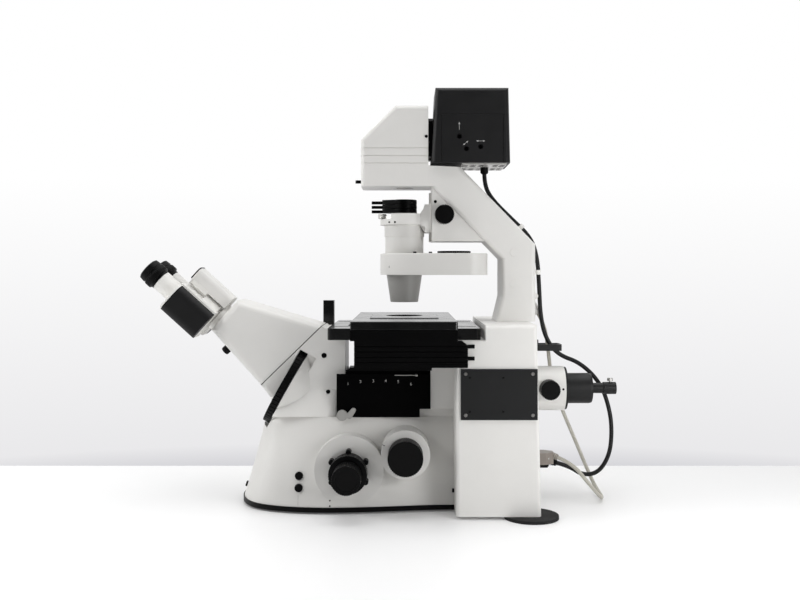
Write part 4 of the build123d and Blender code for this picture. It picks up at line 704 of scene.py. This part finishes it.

# Large round vents in the lamp's underside: flat black discs paint the shade inside the holes, each in a
# steel rim.
lamp_underside = 577.0
vent_shade_disc = [(0, 0.08), (5.0, 0.08), (5.0, -0.05), (0, -0.05)]
vent_rim = [(4.9, -0.1), (5.5, -0.1), (5.4, 0.2), (5.0, 0.2)]
form = bmesh.new()
rims = bmesh.new()
for x in (104.0, 118.0, 132.0, 156.0, 168.0):
    for y in (-36.0, -18.0, 18.0, 36.0):
        vent = at(x, y, lamp_underside)
        turned_form(form, vent_shade_disc, vent, down_way, segments=24)
        turned_form(rims, vent_rim, vent, down_way, segments=24)
made("lamp_vent_shade_discs", form, "black_matte", "lamp_grille")
made("lamp_vent_rims", rims, "steel", "lamp_grille")

# Ribbed grip over the end of the pull knob.
pull_way = Vector((-0.74377, 0.0, -0.66843))
pull_knob = nodes["pull_knob"]
pull_middle = (Vector(pull_knob.bound_box[0]) + Vector(pull_knob.bound_box[6])) / 2
reach = max((vertex.co - pull_middle).dot(pull_way) for vertex in pull_knob.data.vertices)
pull_grip = [(6.4, -9.5), (7.4, -9.2), (7.4, -0.5), (6.6, 1.2), (4.5, 2.0), (0, 2.2), (0, 0.2), (6.4, 0.1)]
form = bmesh.new()
turned_form(form, pull_grip, pull_middle + pull_way * reach, pull_way, segments=96, ribs=24, rib_depth=0.35)
made("pull_knob_grip", form, "black_plastic", "pull_knob", rib_angle)

# Thin seam on the base's side, and a small black block there that paints the shade of a notch.
form = bmesh.new()
for z in range(14, 29, 2):
    upright_form(form, "front_base", -173.5, z, half_width=0.2, half_height=1.05, low=-0.05, high=0.05)
made("base_seam", form, "print_dark", "front_base")
form = bmesh.new()
upright_form(form, "front_base", 81.0, 34.0, half_width=1.8, half_height=3.2, low=-0.4, high=1.6)
made("base_notch_shade", form, "black_anodised", "front_base")

# Floor, whose tone is lifted a little for camera rays alone.
floor_width = 7.0
floor_depth = 3.6
floor_back = 0.265
floor_lift = 0.08
bpy.ops.mesh.primitive_plane_add(size=1)
floor = bpy.context.object
floor.name = "floor"
floor.scale = (floor_width, floor_depth, 1.0)
floor.location = (axis_x / 1000, floor_back - floor_depth / 2, 0.0)
floor_material, tree, shader = new_material("floor")
broad = noise(tree, place_coordinates(tree), 3.0)
shade = graded(tree, broad, (0.86, 0.86, 0.865, 1), (0.90, 0.90, 0.90, 1))
tree.links.new(shade, shader.inputs["Base Color"])
shader.inputs["Roughness"].default_value = 0.45
glow = add(tree, "ShaderNodeEmission")
floor_rays = add(tree, "ShaderNodeLightPath")
lift = add(tree, "ShaderNodeMath", operation="MULTIPLY")
lift.inputs[1].default_value = floor_lift
tree.links.new(floor_rays.outputs["Is Camera Ray"], lift.inputs[0])
tree.links.new(lift.outputs["Value"], glow.inputs["Strength"])
both = add(tree, "ShaderNodeAddShader")
tree.links.new(shader.outputs["BSDF"], both.inputs[0])
tree.links.new(glow.outputs["Emission"], both.inputs[1])
tree.links.new(both.outputs["Shader"], tree.nodes["Material Output"].inputs["Surface"])
floor.data.materials.append(floor_material)

# Surroundings: the camera sees a pale wall, shiny faces see that wall behind and a dark room in front,
# and all else is lit by a soft white tent that fades towards the front.
ambient_strength = 0.57
white = (1.0, 1.0, 1.0, 1)
world = bpy.data.worlds.new("studio")
bpy.context.scene.world = world
world.use_nodes = True
tree = world.node_tree
ambient = tree.nodes["Background"]
ambient.inputs["Strength"].default_value = ambient_strength
backdrop = add(tree, "ShaderNodeBackground")
room = add(tree, "ShaderNodeBackground")
direction = add(tree, "ShaderNodeTexCoord")
split = add(tree, "ShaderNodeSeparateXYZ")
tree.links.new(direction.outputs["Generated"], split.inputs["Vector"])
upward = split.outputs["Z"]
backward = split.outputs["Y"]
# Painted shade on the wall: darker towards the bottom, with a painted shadow line just above the floor's far
# edge.
shaded_wall = graded(tree, upward, (0.80, 0.795, 0.81, 1), white, -0.21, 0.09)
shaded_wall = graded(tree, upward, (0.62, 0.62, 0.65, 1), shaded_wall, -0.207, -0.180)
behind = graded(tree, backward, (0.07, 0.07, 0.072, 1), shaded_wall, -0.2, 0.3)
tent = graded(tree, backward, (0.12, 0.12, 0.12, 1), white, -0.7, 0.2)
tree.links.new(shaded_wall, backdrop.inputs["Color"])
tree.links.new(tent, ambient.inputs["Color"])
tree.links.new(behind, room.inputs["Color"])
rays = add(tree, "ShaderNodeLightPath")
seen = combined(tree, "MAXIMUM", rays.outputs["Is Camera Ray"], rays.outputs["Is Transmission Ray"])
shiny = rays.outputs["Is Glossy Ray"]
lit = mixed_shader(tree, shiny, ambient.outputs["Background"], room.outputs["Background"])
shown = mixed_shader(tree, seen, lit, backdrop.outputs["Background"])
tree.links.new(shown, tree.nodes["World Output"].inputs["Surface"])


def area_light(name, place, target, size, power):
    light = bpy.data.lights.new(name, "AREA")
    light.shape = "RECTANGLE"
    light.size = size[0]
    light.size_y = size[1]
    light.energy = power
    lamp = placed(name, light)
    lamp.location = place
    lamp.rotation_euler = (Vector(target) - Vector(place)).to_track_quat("-Z", "Y").to_euler()


area_light("overhead_light", (0.1, -0.2, 2.3), target=(0.05, 0.0, 0.2), size=(2.2, 1.6), power=27.0)
area_light("front_light", (1.3, -1.7, 1.3), target=(0.1, 0.0, 0.35), size=(1.2, 1.0), power=1.5)
area_light("right_light", (0.75, -0.75, 0.35), target=(0.2, -0.1, 0.2), size=(0.4, 0.4), power=3.4)
area_light("left_light", (-1.9, -0.1, 0.8), target=(-0.1, 0.0, 0.3), size=(1.0, 1.0), power=9.0)
area_light("eyepiece_light", (-0.9, -0.55, 0.8), target=(-0.3, 0.0, 0.35), size=(0.35, 0.35), power=2.6)

# Camera: level, with its lens and shifts measured in pixels of a picture 800 wide.
picture_width = 800.0
focal_pixels = 937.0
shift_pixels = (-7.0, -30.0)
sensor_width = 36.0
camera_data = bpy.data.cameras.new("camera")
camera_data.sensor_width = sensor_width
camera_data.lens = focal_pixels * sensor_width / picture_width
camera_data.shift_x = shift_pixels[0] / picture_width
camera_data.shift_y = shift_pixels[1] / picture_width
camera = placed("camera", camera_data)
camera.location = at(4.7, -1640.0, 398.0)
camera.rotation_euler = (math.radians(90.0), 0.0, 0.0)
bpy.context.scene.camera = camera
bpy.context.scene.view_settings.view_transform = "Standard"
